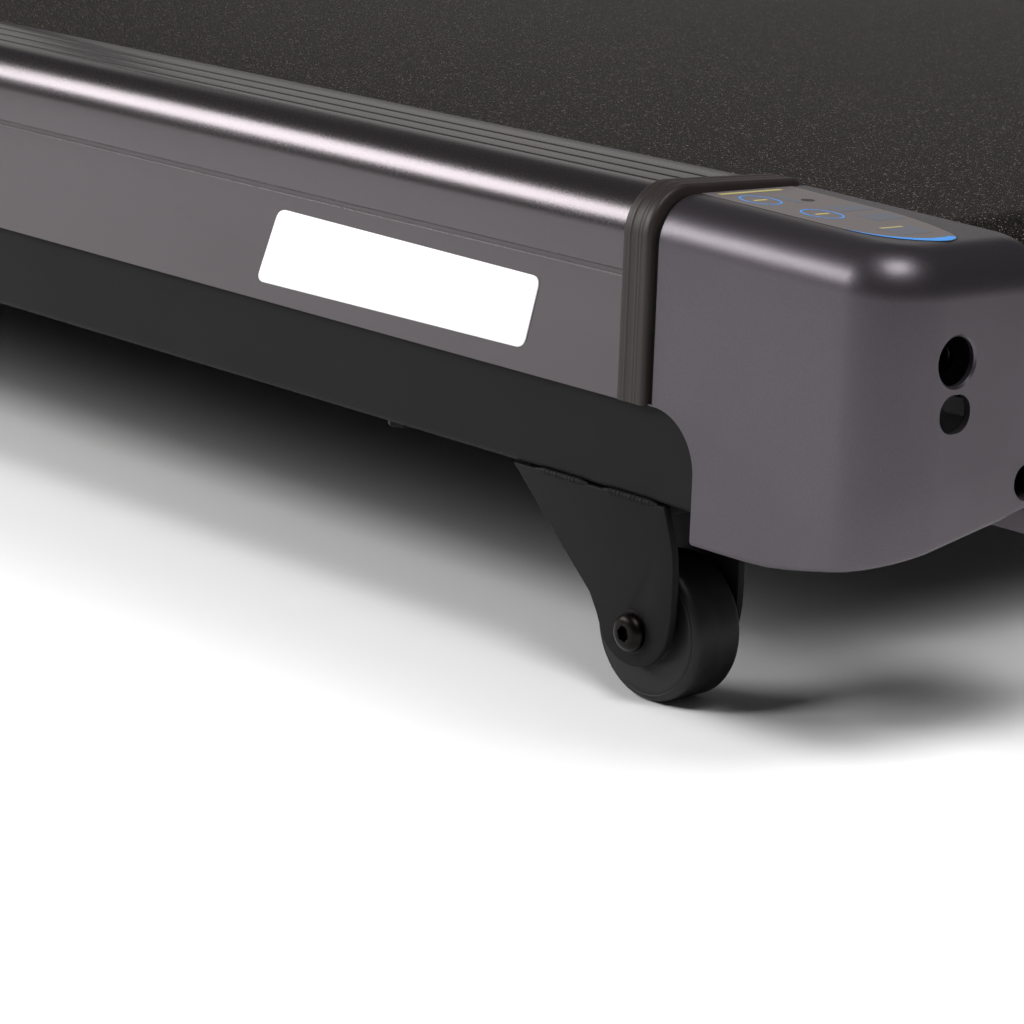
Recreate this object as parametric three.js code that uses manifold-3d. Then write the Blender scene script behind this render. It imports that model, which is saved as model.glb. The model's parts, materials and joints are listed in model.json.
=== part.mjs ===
// Folding home treadmill with a powered incline, modelled at real size.
// Frame: +X to the runner's right, +Y towards the console, +Z up, millimetres.
// The origin is on the floor under the middle of the machine.
import * as THREE from 'three';
import { mergeVertices } from 'three/addons/utils/BufferGeometryUtils.js';
import Module from 'manifold-3d';

const wasm = await Module();
wasm.setup();

// ---------------------------------------------------------------- driving dimensions
const HALF_W = 340;          // outer face of a side rail
const RAIL_IN = 252;         // inner edge of a side rail
const REAR = -950;           // rear face of the end caps
const YW = -813;             // rear wheel axle
const RAIL_Y0 = YW + 9.8;    // rear end of the rail
const RAIL_Y1 = 428;         // front end of the rail, under the hood
const RAIL_BOT = 123.8;      // lower edge of the rail skirt
const RAIL_TOP = 209;        // top of the rail at its outer edge
const RAIL_FALL = 6;         // the rail top falls this much towards the belt
const RAIL_R = 19;           // rounded outer top edge
const RAIL_T = 2.6;          // rail wall
const TUBE_X0 = 296, TUBE_X1 = 336;   // deck frame tube, 40 x 78
const TUBE_Z0 = 85, TUBE_Z1 = 163;
const TUBE_Y0 = -906, TUBE_Y1 = 768;
const WHEEL_R = 30, WHEEL_W = 26, WHEEL_X = 316;
const AXLE_Z = 30;
const BELT_TOP = 198.5, BELT_T = 2.2, BELT_HALF = 250;
const ROLLER_R = 23.6;
const ROLLER_Z = BELT_TOP - BELT_T - ROLLER_R - 0.2;
const ROLLER_YR = YW - 62, ROLLER_YF = 470;
const PIV_Y = 715, PIV_Z = 104.5;     // fold axis, through the deck tubes
const LIFT_R = 260;                   // lift arm length
const LB_Y = PIV_Y - LIFT_R;          // lift arm pivot on the base
const WALL = 2.5;                     // wall of the welded steel tubes
const LEVER = 48;                     // lift lever below its pivot
const IM_Y = 150;                     // incline actuator pivot on the base
const STRUT_X = 120, SA = [688, 49.5], SB = [260, 64];   // fold strut ends (y, z)
const BEAM_X0 = 352, BEAM_X1 = 392, BEAM_Z0 = 22, BEAM_Z1 = 62;
const BASE_Y0 = 120, BASE_Y1 = 938;
const MOTOR_Y = 632, MOTOR_Z = 186, MOTOR_R = 47;
const PULLEY_R1 = 38, PULLEY_R2 = 20, PULLEY_X = -274, PULLEY_W = 18;
const CONSOLE = { y: 742, z: 1168, tilt: 40 };

// ---------------------------------------------------------------- helpers
const clean = (g) => {
  let h = g.index ? g.clone() : g;
  h = h.clone();
  for (const k of Object.keys(h.attributes)) if (k !== 'position') h.deleteAttribute(k);
  return mergeVertices(h, 1e-4);
};
const toM = (g) => {
  const h = clean(g);
  const tri = new Uint32Array(h.index.array);
  return new wasm.Manifold(new wasm.Mesh({ numProp: 3, vertProperties: new Float32Array(h.attributes.position.array), triVerts: tri }));
};
const toG = (m) => {
  const r = m.getMesh();
  const g = new THREE.BufferGeometry();
  const n = r.numProp, v = r.vertProperties, c = v.length / n;
  const p = new Float32Array(c * 3);
  for (let i = 0; i < c; i++) { p[3 * i] = v[n * i]; p[3 * i + 1] = v[n * i + 1]; p[3 * i + 2] = v[n * i + 2]; }
  g.setAttribute('position', new THREE.BufferAttribute(p, 3));
  g.setIndex(new THREE.BufferAttribute(new Uint32Array(r.triVerts), 1));
  return g;
};
const add = (...gs) => toG(gs.slice(1).reduce((a, g) => a.add(toM(g)), toM(gs[0])));
const cut = (a, ...gs) => toG(gs.reduce((m, g) => m.subtract(toM(g)), toM(a)));
const meet = (a, ...gs) => toG(gs.reduce((m, g) => m.intersect(toM(g)), toM(a)));
const box = (x0, x1, y0, y1, z0, z1) => new THREE.BoxGeometry(x1 - x0, y1 - y0, z1 - z0)
  .translate((x0 + x1) / 2, (y0 + y1) / 2, (z0 + z1) / 2);
const cylX = (r, x0, x1, y, z, n = 32) => new THREE.CylinderGeometry(r, r, x1 - x0, n).rotateZ(Math.PI / 2).translate((x0 + x1) / 2, y, z);
const cylY = (r, y0, y1, x, z, n = 32) => new THREE.CylinderGeometry(r, r, y1 - y0, n).translate(x, (y0 + y1) / 2, z);
const cylZ = (r, z0, z1, x, y, n = 32) => new THREE.CylinderGeometry(r, r, z1 - z0, n).rotateX(Math.PI / 2).translate(x, y, (z0 + z1) / 2);
const shape = (pts, holes = []) => {
  const s = new THREE.Shape(pts.map((p) => new THREE.Vector2(p[0], p[1])));
  for (const h of holes) s.holes.push(new THREE.Path(h.map((p) => new THREE.Vector2(p[0], p[1]))));
  return s;
};
const ext = (pts, d, holes) => new THREE.ExtrudeGeometry(shape(pts, holes), { depth: d, bevelEnabled: false, curveSegments: 8 });
// profile given as (x, z), drawn out along +Y from y0 to y1
const extY = (pts, y0, y1, holes) => ext(pts, y1 - y0, holes).rotateX(Math.PI / 2).translate(0, y1, 0);
// profile given as (y, z), drawn out along +X from x0 to x1
const extX = (pts, x0, x1, holes) => ext(pts, x1 - x0, holes).rotateX(Math.PI / 2).rotateZ(Math.PI / 2).translate(x0, 0, 0);
// profile given as (x, y), drawn out along +Z
const extZ = (pts, z0, z1, holes) => ext(pts, z1 - z0, holes).translate(0, 0, z0);
const lathe = (pts, n = 32) => new THREE.LatheGeometry(pts.map((p) => new THREE.Vector2(p[0], p[1])), n);
// lathe about +X: profile (radius, x)
const latheX = (pts, n = 32) => lathe(pts, n).rotateZ(-Math.PI / 2);
const latheZ = (pts, n = 32) => lathe(pts, n).rotateX(Math.PI / 2);
const arc = (cx, cy, r, a0, a1, n) => Array.from({ length: n + 1 }, (_, i) => {
  const a = (a0 + (a1 - a0) * i / n) * Math.PI / 180;
  return [cx + r * Math.cos(a), cy + r * Math.sin(a)];
});
const rrect = (x0, x1, y0, y1, r, n = 4) => [
  ...arc(x1 - r, y0 + r, r, -90, 0, n), ...arc(x1 - r, y1 - r, r, 0, 90, n),
  ...arc(x0 + r, y1 - r, r, 90, 180, n), ...arc(x0 + r, y0 + r, r, 180, 270, n)];
// closed solid through a stack of rings with equal point counts
const loft = (rings) => {
  const n = rings[0].length, pos = [], idx = [];
  rings.forEach((r) => r.forEach((p) => pos.push(...p)));
  for (let k = 0; k < rings.length - 1; k++) for (let i = 0; i < n; i++) {
    const a = k * n + i, b = k * n + (i + 1) % n, c = a + n, d = b + n;
    idx.push(a, b, d, a, d, c);
  }
  const cap = (k, up) => {
    const r = rings[k], base = pos.length / 3;
    const c = [0, 1, 2].map((j) => r.reduce((s, p) => s + p[j], 0) / n);
    pos.push(...c);
    for (let i = 0; i < n; i++) {
      const a = k * n + i, b = k * n + (i + 1) % n;
      if (up) idx.push(a, b, base); else idx.push(b, a, base);
    }
  };
  cap(0, false); cap(rings.length - 1, true);
  const g = new THREE.BufferGeometry();
  g.setAttribute('position', new THREE.BufferAttribute(new Float32Array(pos), 3));
  g.setIndex(idx);
  return g;
};
const mirrorX = (g) => {
  const h = clean(g), p = h.attributes.position.array, t = h.index.array;
  for (let i = 0; i < p.length; i += 3) p[i] = -p[i];
  for (let i = 0; i < t.length; i += 3) { const s = t[i]; t[i] = t[i + 1]; t[i + 1] = s; }
  return h;
};
// outline of a loop of material round two wheels in the (y, z) plane
const loop = (c1, r1, c2, r2, n = 14) => {
  // c1 behind (smaller y), c2 in front
  const d = Math.hypot(c2[0] - c1[0], c2[1] - c1[1]);
  const base = Math.atan2(c2[1] - c1[1], c2[0] - c1[0]) * 180 / Math.PI;
  const off = Math.acos((r1 - r2) / d) * 180 / Math.PI;
  return [...arc(c2[0], c2[1], r2, base - off, base + off, n), ...arc(c1[0], c1[1], r1, base + off, base + 360 - off, n)];
};

const root = new THREE.Group();
const put = (name, geo, color, rough, metal, parent = root) => {
  const g = geo.index ? geo : clean(geo);
  const m = new THREE.Mesh(g, new THREE.MeshStandardMaterial({ color, roughness: rough, metalness: metal }));
  m.name = name;
  parent.add(m);
  return m;
};
const pair = (name, leftGeo, color, rough, metal) => {
  put(`${name}_left`, leftGeo, color, rough, metal);
  put(`${name}_right`, mirrorX(leftGeo), color, rough, metal);
};
const GUN = 0x6b6469, BLACK = 0x2c2a2d, RUB = 0x1d1c1e, TRIM = 0x4a4443, STEEL = 0x8c8c90, DARK = 0x232224;

// ---------------------------------------------------------------- side rails (aluminium extrusions)
// section in (x, z) of the left rail: skirt with a double groove line, rounded shoulder,
// three shallow ribs on the top, and a lip over the belt's edge
const topZ = (x) => RAIL_TOP - RAIL_FALL * (x + HALF_W - RAIL_R) / (HALF_W - RAIL_R - RAIL_IN);
const railOuter = (() => {
  const p = [[-HALF_W, RAIL_BOT]];
  for (const zg of [172.6, 177.4]) p.push([-HALF_W, zg - 0.9], [-HALF_W + 0.9, zg - 0.35], [-HALF_W + 0.9, zg + 0.35], [-HALF_W, zg + 0.9]);
  p.push(...arc(-HALF_W + RAIL_R, RAIL_TOP - RAIL_R, RAIL_R, 180, 93, 8));
  for (const xg of [-318, -299, -280]) p.push([xg - 1.3, topZ(xg - 1.3)], [xg - 0.6, topZ(xg) - 1.0], [xg + 0.6, topZ(xg) - 1.0], [xg + 1.3, topZ(xg + 1.3)]);
  p.push([-RAIL_IN - 1.2, topZ(-RAIL_IN - 1.2)], [-RAIL_IN, topZ(-RAIL_IN) - 1.2]);
  return p;
})();
const railInner = [[-RAIL_IN, 200.2], [-RAIL_IN - 3, 200.2],
  [-270, topZ(-270) - RAIL_T - 0.4], [-HALF_W + RAIL_R, RAIL_TOP - RAIL_T - 0.6],
  ...arc(-HALF_W + RAIL_R, RAIL_TOP - RAIL_R, RAIL_R - RAIL_T, 100, 180, 5), [-HALF_W + RAIL_T, RAIL_BOT]];
const railProfile = [...railOuter, ...railInner].reverse();
pair('side_rail', extY(railProfile, RAIL_Y0, RAIL_Y1), GUN, 0.38, 0.8);

// ---------------------------------------------------------------- trim bands at the rail-to-cap joint
// the band follows the rail's section, stands proud of it, and carries fine ribs along its width
const bandShape = (o, i) => {   // o: stand-off outside, i: thickness measured inwards
  const R = RAIL_R;
  const outer = [[-HALF_W - o, RAIL_BOT + 0.6], ...arc(-HALF_W + R, RAIL_TOP - R, R + o, 180, 93, 7), [-RAIL_IN - 1, topZ(-RAIL_IN) + o]];
  const inner = [[-RAIL_IN - 1, topZ(-RAIL_IN) - i + 0.2], [-HALF_W + R, RAIL_TOP - i], ...arc(-HALF_W + R, RAIL_TOP - R, R - i, 95, 180, 6), [-HALF_W + i, RAIL_BOT + 0.6]];
  return [...outer, ...inner].reverse();
};
const bandY0 = YW - 6.2, bandY1 = RAIL_Y0 - 0.3;
const band = add(
  extY(bandShape(1.6, 3), bandY0, bandY1),
  extY(bandShape(2.2, 0.5), bandY0 + 2.5, bandY0 + 5.0),
  extY(bandShape(2.2, 0.5), bandY1 - 5.0, bandY1 - 2.5));
pair('rail_trim', band, TRIM, 0.75, 0.0);

// ---------------------------------------------------------------- end caps (moulded shells)
const CAP_R = 28;            // outer rear vertical corner
const CAP_TOPR = 19;         // rounded top edge
const CAP_Y1 = YW - 6.6;     // front edge, against the trim band
const CAP_IN = 254;          // inner wall
const CAP_FOOT = 214;        // inner end of the low foot
const capBottom = (x, y) => 73 + 0.2 * Math.max(0, (YW - 76) - y) + 0.185 * (x + HALF_W);
const capTop = (x, y) => RAIL_TOP - 1.6 - 4 * Math.max(0, x + HALF_W - CAP_TOPR) / 66 - 0.024 * Math.max(0, YW - 10 - y);
const planRing = (inset, yFront, xin) => {
  // counter-clockwise from the front outer corner, seen from above
  const r = Math.max(CAP_R - inset, 4), x0 = -HALF_W + 0.6 + inset, y0 = REAR + inset, x1 = xin;
  const p = [[x0, yFront]];
  for (const yk of [YW - 50, YW - 76]) p.push([x0, yk]);
  p.push(...arc(x0 + r, y0 + r, r, 180, 270, 7));
  
  p.push(...arc(x1 - 9, y0 + 9, 9, 270, 360, 3));
  p.push([x1, (y0 + yFront) / 2], [x1, yFront]);
  return p;
};
const capSolid = (inset, yFront, xin, dTop, dBot) => {
  const rings = [];
  const H = (x, y, t) => {
    const zb = capBottom(x, y) + dBot, zt = capTop(x, y) - dTop;
    return zb + (zt - zb) * t;
  };
  const steps = [];
  // lower edge: small round, then straight wall, then the rounded top edge
  for (const a of [0, 90]) steps.push([3 * (1 - Math.sin(a * Math.PI / 180)), (3 * (1 - Math.cos(a * Math.PI / 180))), 0]);
  for (let k = 0; k <= 4; k++) {
    const a = k * 22.5 * Math.PI / 180;
    steps.push([CAP_TOPR * (1 - Math.cos(a)), -CAP_TOPR * (1 - Math.sin(a)), 1]);
  }
  for (const [ins, dz, top] of steps) {
    rings.push(planRing(inset + ins, yFront, xin - (top ? ins * 0.35 : 0)).map(([x, y]) => [x, y, top ? H(x, y, 1) + dz : H(x, y, 0) + dz]));
  }
  return loft(rings);
};
// upper body plus the low foot that reaches inwards under the rear roller
const capOuter = (() => {
  const body = capSolid(0, CAP_Y1, -CAP_IN + 0, 0, 0);
  return body;
})();
const footPts = [[-CAP_IN - 6, 89.5], [-CAP_FOOT - 12, 107], [-CAP_FOOT - 3, 110], [-CAP_FOOT, 115], [-CAP_FOOT - 3, 120], [-CAP_FOOT - 14, 122.5], [-CAP_IN + 14, 127], [-CAP_IN + 5, 131], [-CAP_IN, 138], [-CAP_IN - 6, 144]];
const foot = extY(footPts, REAR + 1.2, REAR + 62);
const capInnerCut = capSolid(3, CAP_Y1 + 6, -CAP_IN - 2.6, 3, 3);
const footCut = extY([[-CAP_IN - 4, 97], [-CAP_FOOT - 12, 111], [-CAP_FOOT - 6, 115], [-CAP_FOOT - 12, 119], [-CAP_IN + 12, 123.5], [-CAP_IN - 4, 136]], REAR + 4.2, REAR + 63);
// notch over the frame tube: vertical edge, then a concave quarter up to the trim band
const NOTCH_Y = YW - 34;
const notchPts = [[NOTCH_Y, 60], [CAP_Y1 + 2, 60], [CAP_Y1 + 2, 124.6], [CAP_Y1 - 3, 124.6], ...arc(NOTCH_Y + 24, 100.6, 24, 78, 180, 7)];
const notch = extX(notchPts.reverse(), -HALF_W - 10, -CAP_IN + 60);
const holeUp = cylY(10, REAR - 5, REAR + 20, -303, 162, 28);
const holeLow = extY(rrect(-311, -294.5, 134.5, 149.5, 6.6, 4), REAR - 5, REAR + 20);
const holeIn = cylY(7, REAR - 5, REAR + 20, -251.5, 111.5, 20);
let cap = add(capOuter, foot);
cap = cut(cap, capInnerCut, footCut, notch, holeUp, holeLow, holeIn);
cap = cut(cap, cylX(9, -CAP_IN - 5, -CAP_IN + 5, ROLLER_YR, ROLLER_Z, 20));
pair('end_cap', cap, GUN, 0.42, 0.6);

// ---------------------------------------------------------------- deck frame
const deckTube = cut(
  extY(rrect(-TUBE_X1, -TUBE_X0, TUBE_Z0, TUBE_Z1, 3, 2), TUBE_Y0, TUBE_Y1),
  box(-TUBE_X1 + WALL, -TUBE_X0 - WALL, TUBE_Y0 - 5, TUBE_Y1 + 5, TUBE_Z0 + WALL, TUBE_Z1 - WALL),
  cylX(10.6, -TUBE_X1 + 1, -TUBE_X0 + 1, PIV_Y, PIV_Z, 24),
  box(-325, -TUBE_X0 + 1, TUBE_Y0 - 1, YW - 33.5, TUBE_Z0 - 1, 96));
pair('frame_tube', deckTube, BLACK, 0.5, 0.3);
const cross = (y0, y1, z0, z1) => cut(extX(rrect(y0, y1, z0, z1, 3, 2), -TUBE_X0 + 0.3, TUBE_X0 - 0.3), box(-400, 400, y0 + WALL, y1 - WALL, z0 + WALL, z1 - WALL));
put('crossmember_rear', cross(-700, -660, 88, 128), BLACK, 0.5, 0.3);
put('crossmember_mid', cross(-250, -210, 88, 128), BLACK, 0.5, 0.3);
const strutEar = (x0, x1) => cut(extX([[SB[0] - 16, 60], [SB[0] - 9, 53], [SB[0] + 9, 53], [SB[0] + 16, 60], [SB[0] + 19, 92], [SB[0] - 19, 92]], x0, x1),
  extX(rrect(SB[0] - 9, SB[0] + 9, SB[1] - 6, SB[1] + 6, 5.5, 4), x0 - 1, x1 + 1));
put('crossmember_front', add(cross(240, 280, 88, 128), strutEar(STRUT_X - 16, STRUT_X - 11), strutEar(STRUT_X + 11, STRUT_X + 16)), BLACK, 0.5, 0.3);
// motor tray between the tubes with a folded front lip
put('motor_mount', add(box(-TUBE_X0 + 0.3, TUBE_X0 - 0.3, 545, 768, 124.5, 129.5), box(-TUBE_X0 + 0.3, TUBE_X0 - 0.3, 763, 768, 124.5, 158),
  box(-190, -150, 585, 680, 129, 136.5), box(0, 40, 585, 680, 129, 136.5)), BLACK, 0.5, 0.3);

// rear wheel forks: two plates joined by a welded top strap
const forkPts = (y) => [[76, 84.6], [26.4, 41], ...arc(2, 37, 21.5, 205, 340, 10).reverse().map((q) => q), [-22.3, 56.5], [-15, 84.6]].map((q) => [q[0] + YW, q[1]]);
const forkPlate = (x0, x1) => {
  const pts = [[YW + 76, 84.6], [YW - 15, 84.6], [YW - 19.8, 73], [YW - 22, 60], [YW - 21.8, 38],
    ...arc(YW + 1, 37, 21.6, 195, 325, 9), [YW + 26.4, 40.5]];
  return cut(extX(pts, x0, x1), cylX(5.2, x0 - 1, x1 + 1, YW, AXLE_Z, 20));
};
const fork = add(forkPlate(-336, -332.4), forkPlate(-299.6, -296), box(-336, -296, YW - 15, YW + 70, 80.6, 84.6));
pair('wheel_bracket', fork, BLACK, 0.5, 0.3);
// wheel: rubber tyre section with a hub, bored for its bolt
const wheelProfile = [[5.3, -WHEEL_W / 2], [27.4, -WHEEL_W / 2], [WHEEL_R, -WHEEL_W / 2 + 4],
  [WHEEL_R, WHEEL_W / 2 - 4], [27.4, WHEEL_W / 2], [5.3, WHEEL_W / 2], [5.3, -WHEEL_W / 2]];
for (const [n, s] of [['left', -1], ['right', 1]]) {
  put(`rear_wheel_${n}`, latheX(wheelProfile, 32), RUB, 0.8, 0).position.set(s * WHEEL_X, YW, AXLE_Z);
}
// button-head socket bolt through the fork; the head sits outside
const boltProf = [[0, -29.5], [4.6, -29.5], [4.6, 20.4], [8, 20.4], [8, 21.6], [6.7, 23.8], [3.4, 25.2], [3.4, 22.6], [0, 22.6]];
const boltGeo = latheX(boltProf, 18);
put('wheel_bolt_right', boltGeo, DARK, 0.35, 0.9).position.set(WHEEL_X, YW, AXLE_Z);
put('wheel_bolt_left', mirrorX(boltGeo), DARK, 0.35, 0.9).position.set(-WHEEL_X, YW, AXLE_Z);

// ---------------------------------------------------------------- deck board, rollers, running belt
put('deck_board', box(-290, 290, YW + 12, 428, 177.6, 195.8), 0x6a5138, 0.7, 0);
const roller = (len, ax, r, n) => [[0, -ax], [7, -ax], [7, -len], [r, -len], [r, len], [7, len], [7, ax], [0, ax]];
put('rear_roller', latheX(roller(251, 288, ROLLER_R), 24), STEEL, 0.3, 0.9).position.set(0, ROLLER_YR, ROLLER_Z);
// front roller with its drive pulley on the left end
put('front_roller', latheX([[0, -292], [7, -292], [7, PULLEY_X - 9], [PULLEY_R1, PULLEY_X - 9], [PULLEY_R1, PULLEY_X + 9], [9, PULLEY_X + 9], [9, -251], [ROLLER_R, -251], [ROLLER_R, 251], [7, 251], [7, 292], [0, 292]], 28), STEEL, 0.3, 0.9)
  .position.set(0, ROLLER_YF, ROLLER_Z);
const bo = loop([ROLLER_YR, ROLLER_Z], ROLLER_R + 0.2 + BELT_T, [ROLLER_YF, ROLLER_Z], ROLLER_R + 0.2 + BELT_T, 16);
const bi = loop([ROLLER_YR, ROLLER_Z], ROLLER_R + 0.2, [ROLLER_YF, ROLLER_Z], ROLLER_R + 0.2, 16);
put('running_belt', extX(bo, -BELT_HALF, BELT_HALF, [bi.slice().reverse()]), 0x161515, 0.85, 0);

// ---------------------------------------------------------------- drive
put('drive_motor', add(cylX(MOTOR_R, -205, 20, MOTOR_Y, MOTOR_Z, 24), cylX(MOTOR_R - 6, -213, 44, MOTOR_Y, MOTOR_Z, 24), cylX(6, -288, 50, MOTOR_Y, MOTOR_Z, 16),
  box(-188, -152, MOTOR_Y - 36, MOTOR_Y + 36, 137, 160), box(2, 38, MOTOR_Y - 36, MOTOR_Y + 36, 137, 160)), 0x3a3a3d, 0.5, 0.6);
put('motor_pulley', latheX([[6.4, -9], [PULLEY_R2 + 1.5, -9], [PULLEY_R2, -7.5], [PULLEY_R2, 7.5], [PULLEY_R2 + 1.5, 9], [6.4, 9], [6.4, -9]], 20), STEEL, 0.4, 0.8)
  .position.set(PULLEY_X, MOTOR_Y, MOTOR_Z);
const dbo = loop([ROLLER_YF, ROLLER_Z], PULLEY_R1 + 3.2, [MOTOR_Y, MOTOR_Z], PULLEY_R2 + 3.2, 12);
const dbi = loop([ROLLER_YF, ROLLER_Z], PULLEY_R1 + 0.6, [MOTOR_Y, MOTOR_Z], PULLEY_R2 + 0.6, 12);
put('drive_belt', extX(dbo, PULLEY_X - 7, PULLEY_X + 7, [dbi.slice().reverse()]), 0x141414, 0.8, 0);
put('motor_controller', add(box(74, 214, 580, 720, 130, 136), ...[0, 1, 2, 3, 4, 5, 6].map((k) => box(76 + k * 21, 84 + k * 21, 585, 715, 135, 176)), box(74, 214, 600, 700, 135, 158)), 0x55585c, 0.5, 0.6);

// ---------------------------------------------------------------- motor hood
const hoodOut = [[392, 127], [392, 214.5], [408, 221], [470, 236], [520, 252], [570, 262], [640, 264], [700, 258], [748, 243], [780, 222], [798, 196], [800, 180], [800, 127]];
const hoodSolid = meet(extX(hoodOut.slice().reverse(), -343, 343), extZ(rrect(-343, 343, 320, 800, 38, 6), 100, 300));
const hoodVoid = meet(extX([[380, 100], [380, 212.3], [396, 213.2], [410, 218], [470, 232.5], [520, 248.5], [570, 258.5], [640, 260.5], [700, 254.5], [746, 240], [777, 220], [794.6, 195], [796.5, 180], [796.5, 100]].reverse(), -339.5, 339.5), extZ(rrect(-339.5, 339.5, 300, 796.5, 35, 6), 90, 300));
put('motor_hood', (() => {
  let g = cut(hoodSolid, hoodVoid);
  // clearance for the rails and the belt at the rear lip
  g = cut(g, box(-341.2, 341.2, 380, RAIL_Y1 + 3, 90, 211.5));
  return g;
})(), 0x3b393c, 0.55, 0);

// ---------------------------------------------------------------- belt tension bolts
const tb = cylY(5, REAR + 14, REAR + 110, -303, 162, 16);
pair('tension_bolt', cut(add(cylY(8, REAR + 10, REAR + 20, -303, 162, 6), cylY(4.8, REAR + 18, REAR + 43.6, -303, 162, 16)), cylY(4, REAR + 8, REAR + 15, -303, 162, 6)), DARK, 0.35, 0.9);

// ---------------------------------------------------------------- lift frame (powered incline)
const armBox = extX([...arc(LB_Y, PIV_Z, 17, 90, 270, 7), ...arc(PIV_Y, PIV_Z, 17, 270, 450, 7)], -290, -262);
const armR = mirrorX(armBox);
const gusset = extX([[LB_Y + 35, PIV_Z], [LB_Y + 50, 18], [LB_Y + 72, 18], [LB_Y + 110, PIV_Z]], -284, -268);
const lever = (x0, x1) => extX([[LB_Y + 74, 18], [LB_Y + 68, 40], [LB_Y + 8, PIV_Z - LEVER + 10], [LB_Y - 8, PIV_Z - LEVER + 8], [LB_Y - 12, PIV_Z - LEVER], [LB_Y - 8, PIV_Z - LEVER - 8], [LB_Y + 10, PIV_Z - LEVER - 10], [LB_Y + 30, 45], [LB_Y + 52, 18]].reverse(), x0, x1);
let lift = add(armBox, armR, gusset, mirrorX(gusset), extX(rrect(LB_Y + 46, LB_Y + 76, 16, 40, 3, 2), -284, 284), lever(-80, -75), lever(-45, -40));
lift = cut(lift, cylX(10.6, -300, -250, LB_Y, PIV_Z, 24), cylX(10.6, 250, 300, LB_Y, PIV_Z, 24), cylX(10.6, -300, -250, PIV_Y, PIV_Z, 24), cylX(10.6, 250, 300, PIV_Y, PIV_Z, 24));
put('lift_frame', lift, BLACK, 0.5, 0.3);
// pivot tube that carries the folding deck, with the ears and pin for the strut
const ear = (x0, x1) => extX([[PIV_Y - 16, PIV_Z + 2], [SA[0] - 11, SA[1]], [SA[0] - 8, SA[1] - 8], [SA[0], SA[1] - 11], [SA[0] + 8, SA[1] - 8], [SA[0] + 11, SA[1]], [PIV_Y + 16, PIV_Z + 2]], x0, x1);
put('hinge_carrier', add(cylX(18, -256, 256, PIV_Y, PIV_Z, 24), cylX(10, -326, 326, PIV_Y, PIV_Z, 24), ear(STRUT_X - 19, STRUT_X - 14), ear(STRUT_X + 14, STRUT_X + 19), cylX(5, STRUT_X - 22, STRUT_X + 22, SA[0], SA[1], 12)), BLACK, 0.5, 0.3);

// ---------------------------------------------------------------- incline actuator (lies along Y under the deck)
const IZ = PIV_Z - LEVER;
put('incline_motor', cut(add(cylY(17, IM_Y + 20, IM_Y + 178, -60, IZ, 24), box(-82, -38, IM_Y + 12, IM_Y + 62, IZ - 22, IZ + 20), cylX(15, -38, 10, IM_Y + 40, IZ, 24), box(-67, -53, IM_Y - 9, IM_Y + 20, IZ - 9, IZ + 9)),
  cylX(5.4, -90, -30, IM_Y, IZ, 20), cylY(8.6, IM_Y + 80, IM_Y + 190, -60, IZ, 24)), 0x303033, 0.5, 0.4);
put('incline_screw', cut(add(cylY(8, IM_Y + 92, LB_Y - 10, -60, IZ, 24), box(-70, -50, LB_Y - 22, LB_Y + 9, IZ - 9, IZ + 9)), cylX(5.5, -90, -30, LB_Y, IZ, 20)), STEEL, 0.3, 0.9);

// ---------------------------------------------------------------- fold strut (cylinder below, rod to the deck)
const sdir = Math.atan2(SB[1] - SA[1], SB[0] - SA[0]);        // from A to B in (y, z)
const sLen = Math.hypot(SB[0] - SA[0], SB[1] - SA[1]);
const strut = new THREE.Group();
strut.position.set(STRUT_X, SA[0], SA[1]);
strut.rotation.x = sdir;                                      // local +Y runs along the strut
root.add(strut);
put('fold_cylinder', cut(add(cylY(12.5, 22, 300, 0, 0, 18), cylX(9, -7, 7, 0, 0, 16), box(-6, 6, 0, 24, -7, 7)), cylX(5.6, -20, 20, 0, 0, 14), cylY(5.8, 150, 310, 0, 0, 14)), 0x27272a, 0.35, 0.6, strut);
put('fold_rod', cut(add(cylY(5, 165, sLen - 8, 0, 0, 14), cylX(9, -7, 7, sLen, 0, 16), box(-5, 5, sLen - 16, sLen, -5, 5)), cylX(5, -20, 20, sLen, 0, 20)), 0xb0b0b4, 0.15, 1, strut);

// ---------------------------------------------------------------- base frame
const beam = cut(extY(rrect(-BEAM_X1, -BEAM_X0, BEAM_Z0, BEAM_Z1, 3, 2), BASE_Y0, BASE_Y1),
  box(-BEAM_X1 + WALL, -BEAM_X0 - WALL, BASE_Y0 + WALL, BASE_Y1 + 5, BEAM_Z0 + WALL, BEAM_Z1 - WALL));
const twSlot = cut(beam, box(-386, -358, 878, 945, 10, 54), cylX(4.3, -391, -353, 905, 29, 16));
pair('base_beam', twSlot, BLACK, 0.5, 0.3);
const bx = BEAM_X0 - 0.3;
put('base_cross_front', cut(extX(rrect(903, 938, BEAM_Z0, BEAM_Z1, 3, 2), -bx, bx), box(-bx - 5, bx + 5, 903 + WALL, 928, BEAM_Z0 + WALL, BEAM_Z1 - WALL), box(258, 332, 930, 940, 28, 56)), BLACK, 0.5, 0.3);
const tab = extX([[LB_Y - 20, 40], [LB_Y + 20, 40], [LB_Y + 16, PIV_Z], ...arc(LB_Y, PIV_Z, 16, 15, 165, 8), [LB_Y - 16, PIV_Z]], -256, -246);
put('base_cross_mid', add(cut(extX(rrect(LB_Y - 18, LB_Y + 18, 22, 43, 3, 2), -bx, bx), box(-400, 400, LB_Y - 15.5, LB_Y + 15.5, 24.5, 40.5)), tab, mirrorX(tab), cylX(10, -291, -250, LB_Y, PIV_Z, 24), cylX(10, 250, 291, LB_Y, PIV_Z, 24)), BLACK, 0.5, 0.3);
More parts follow.
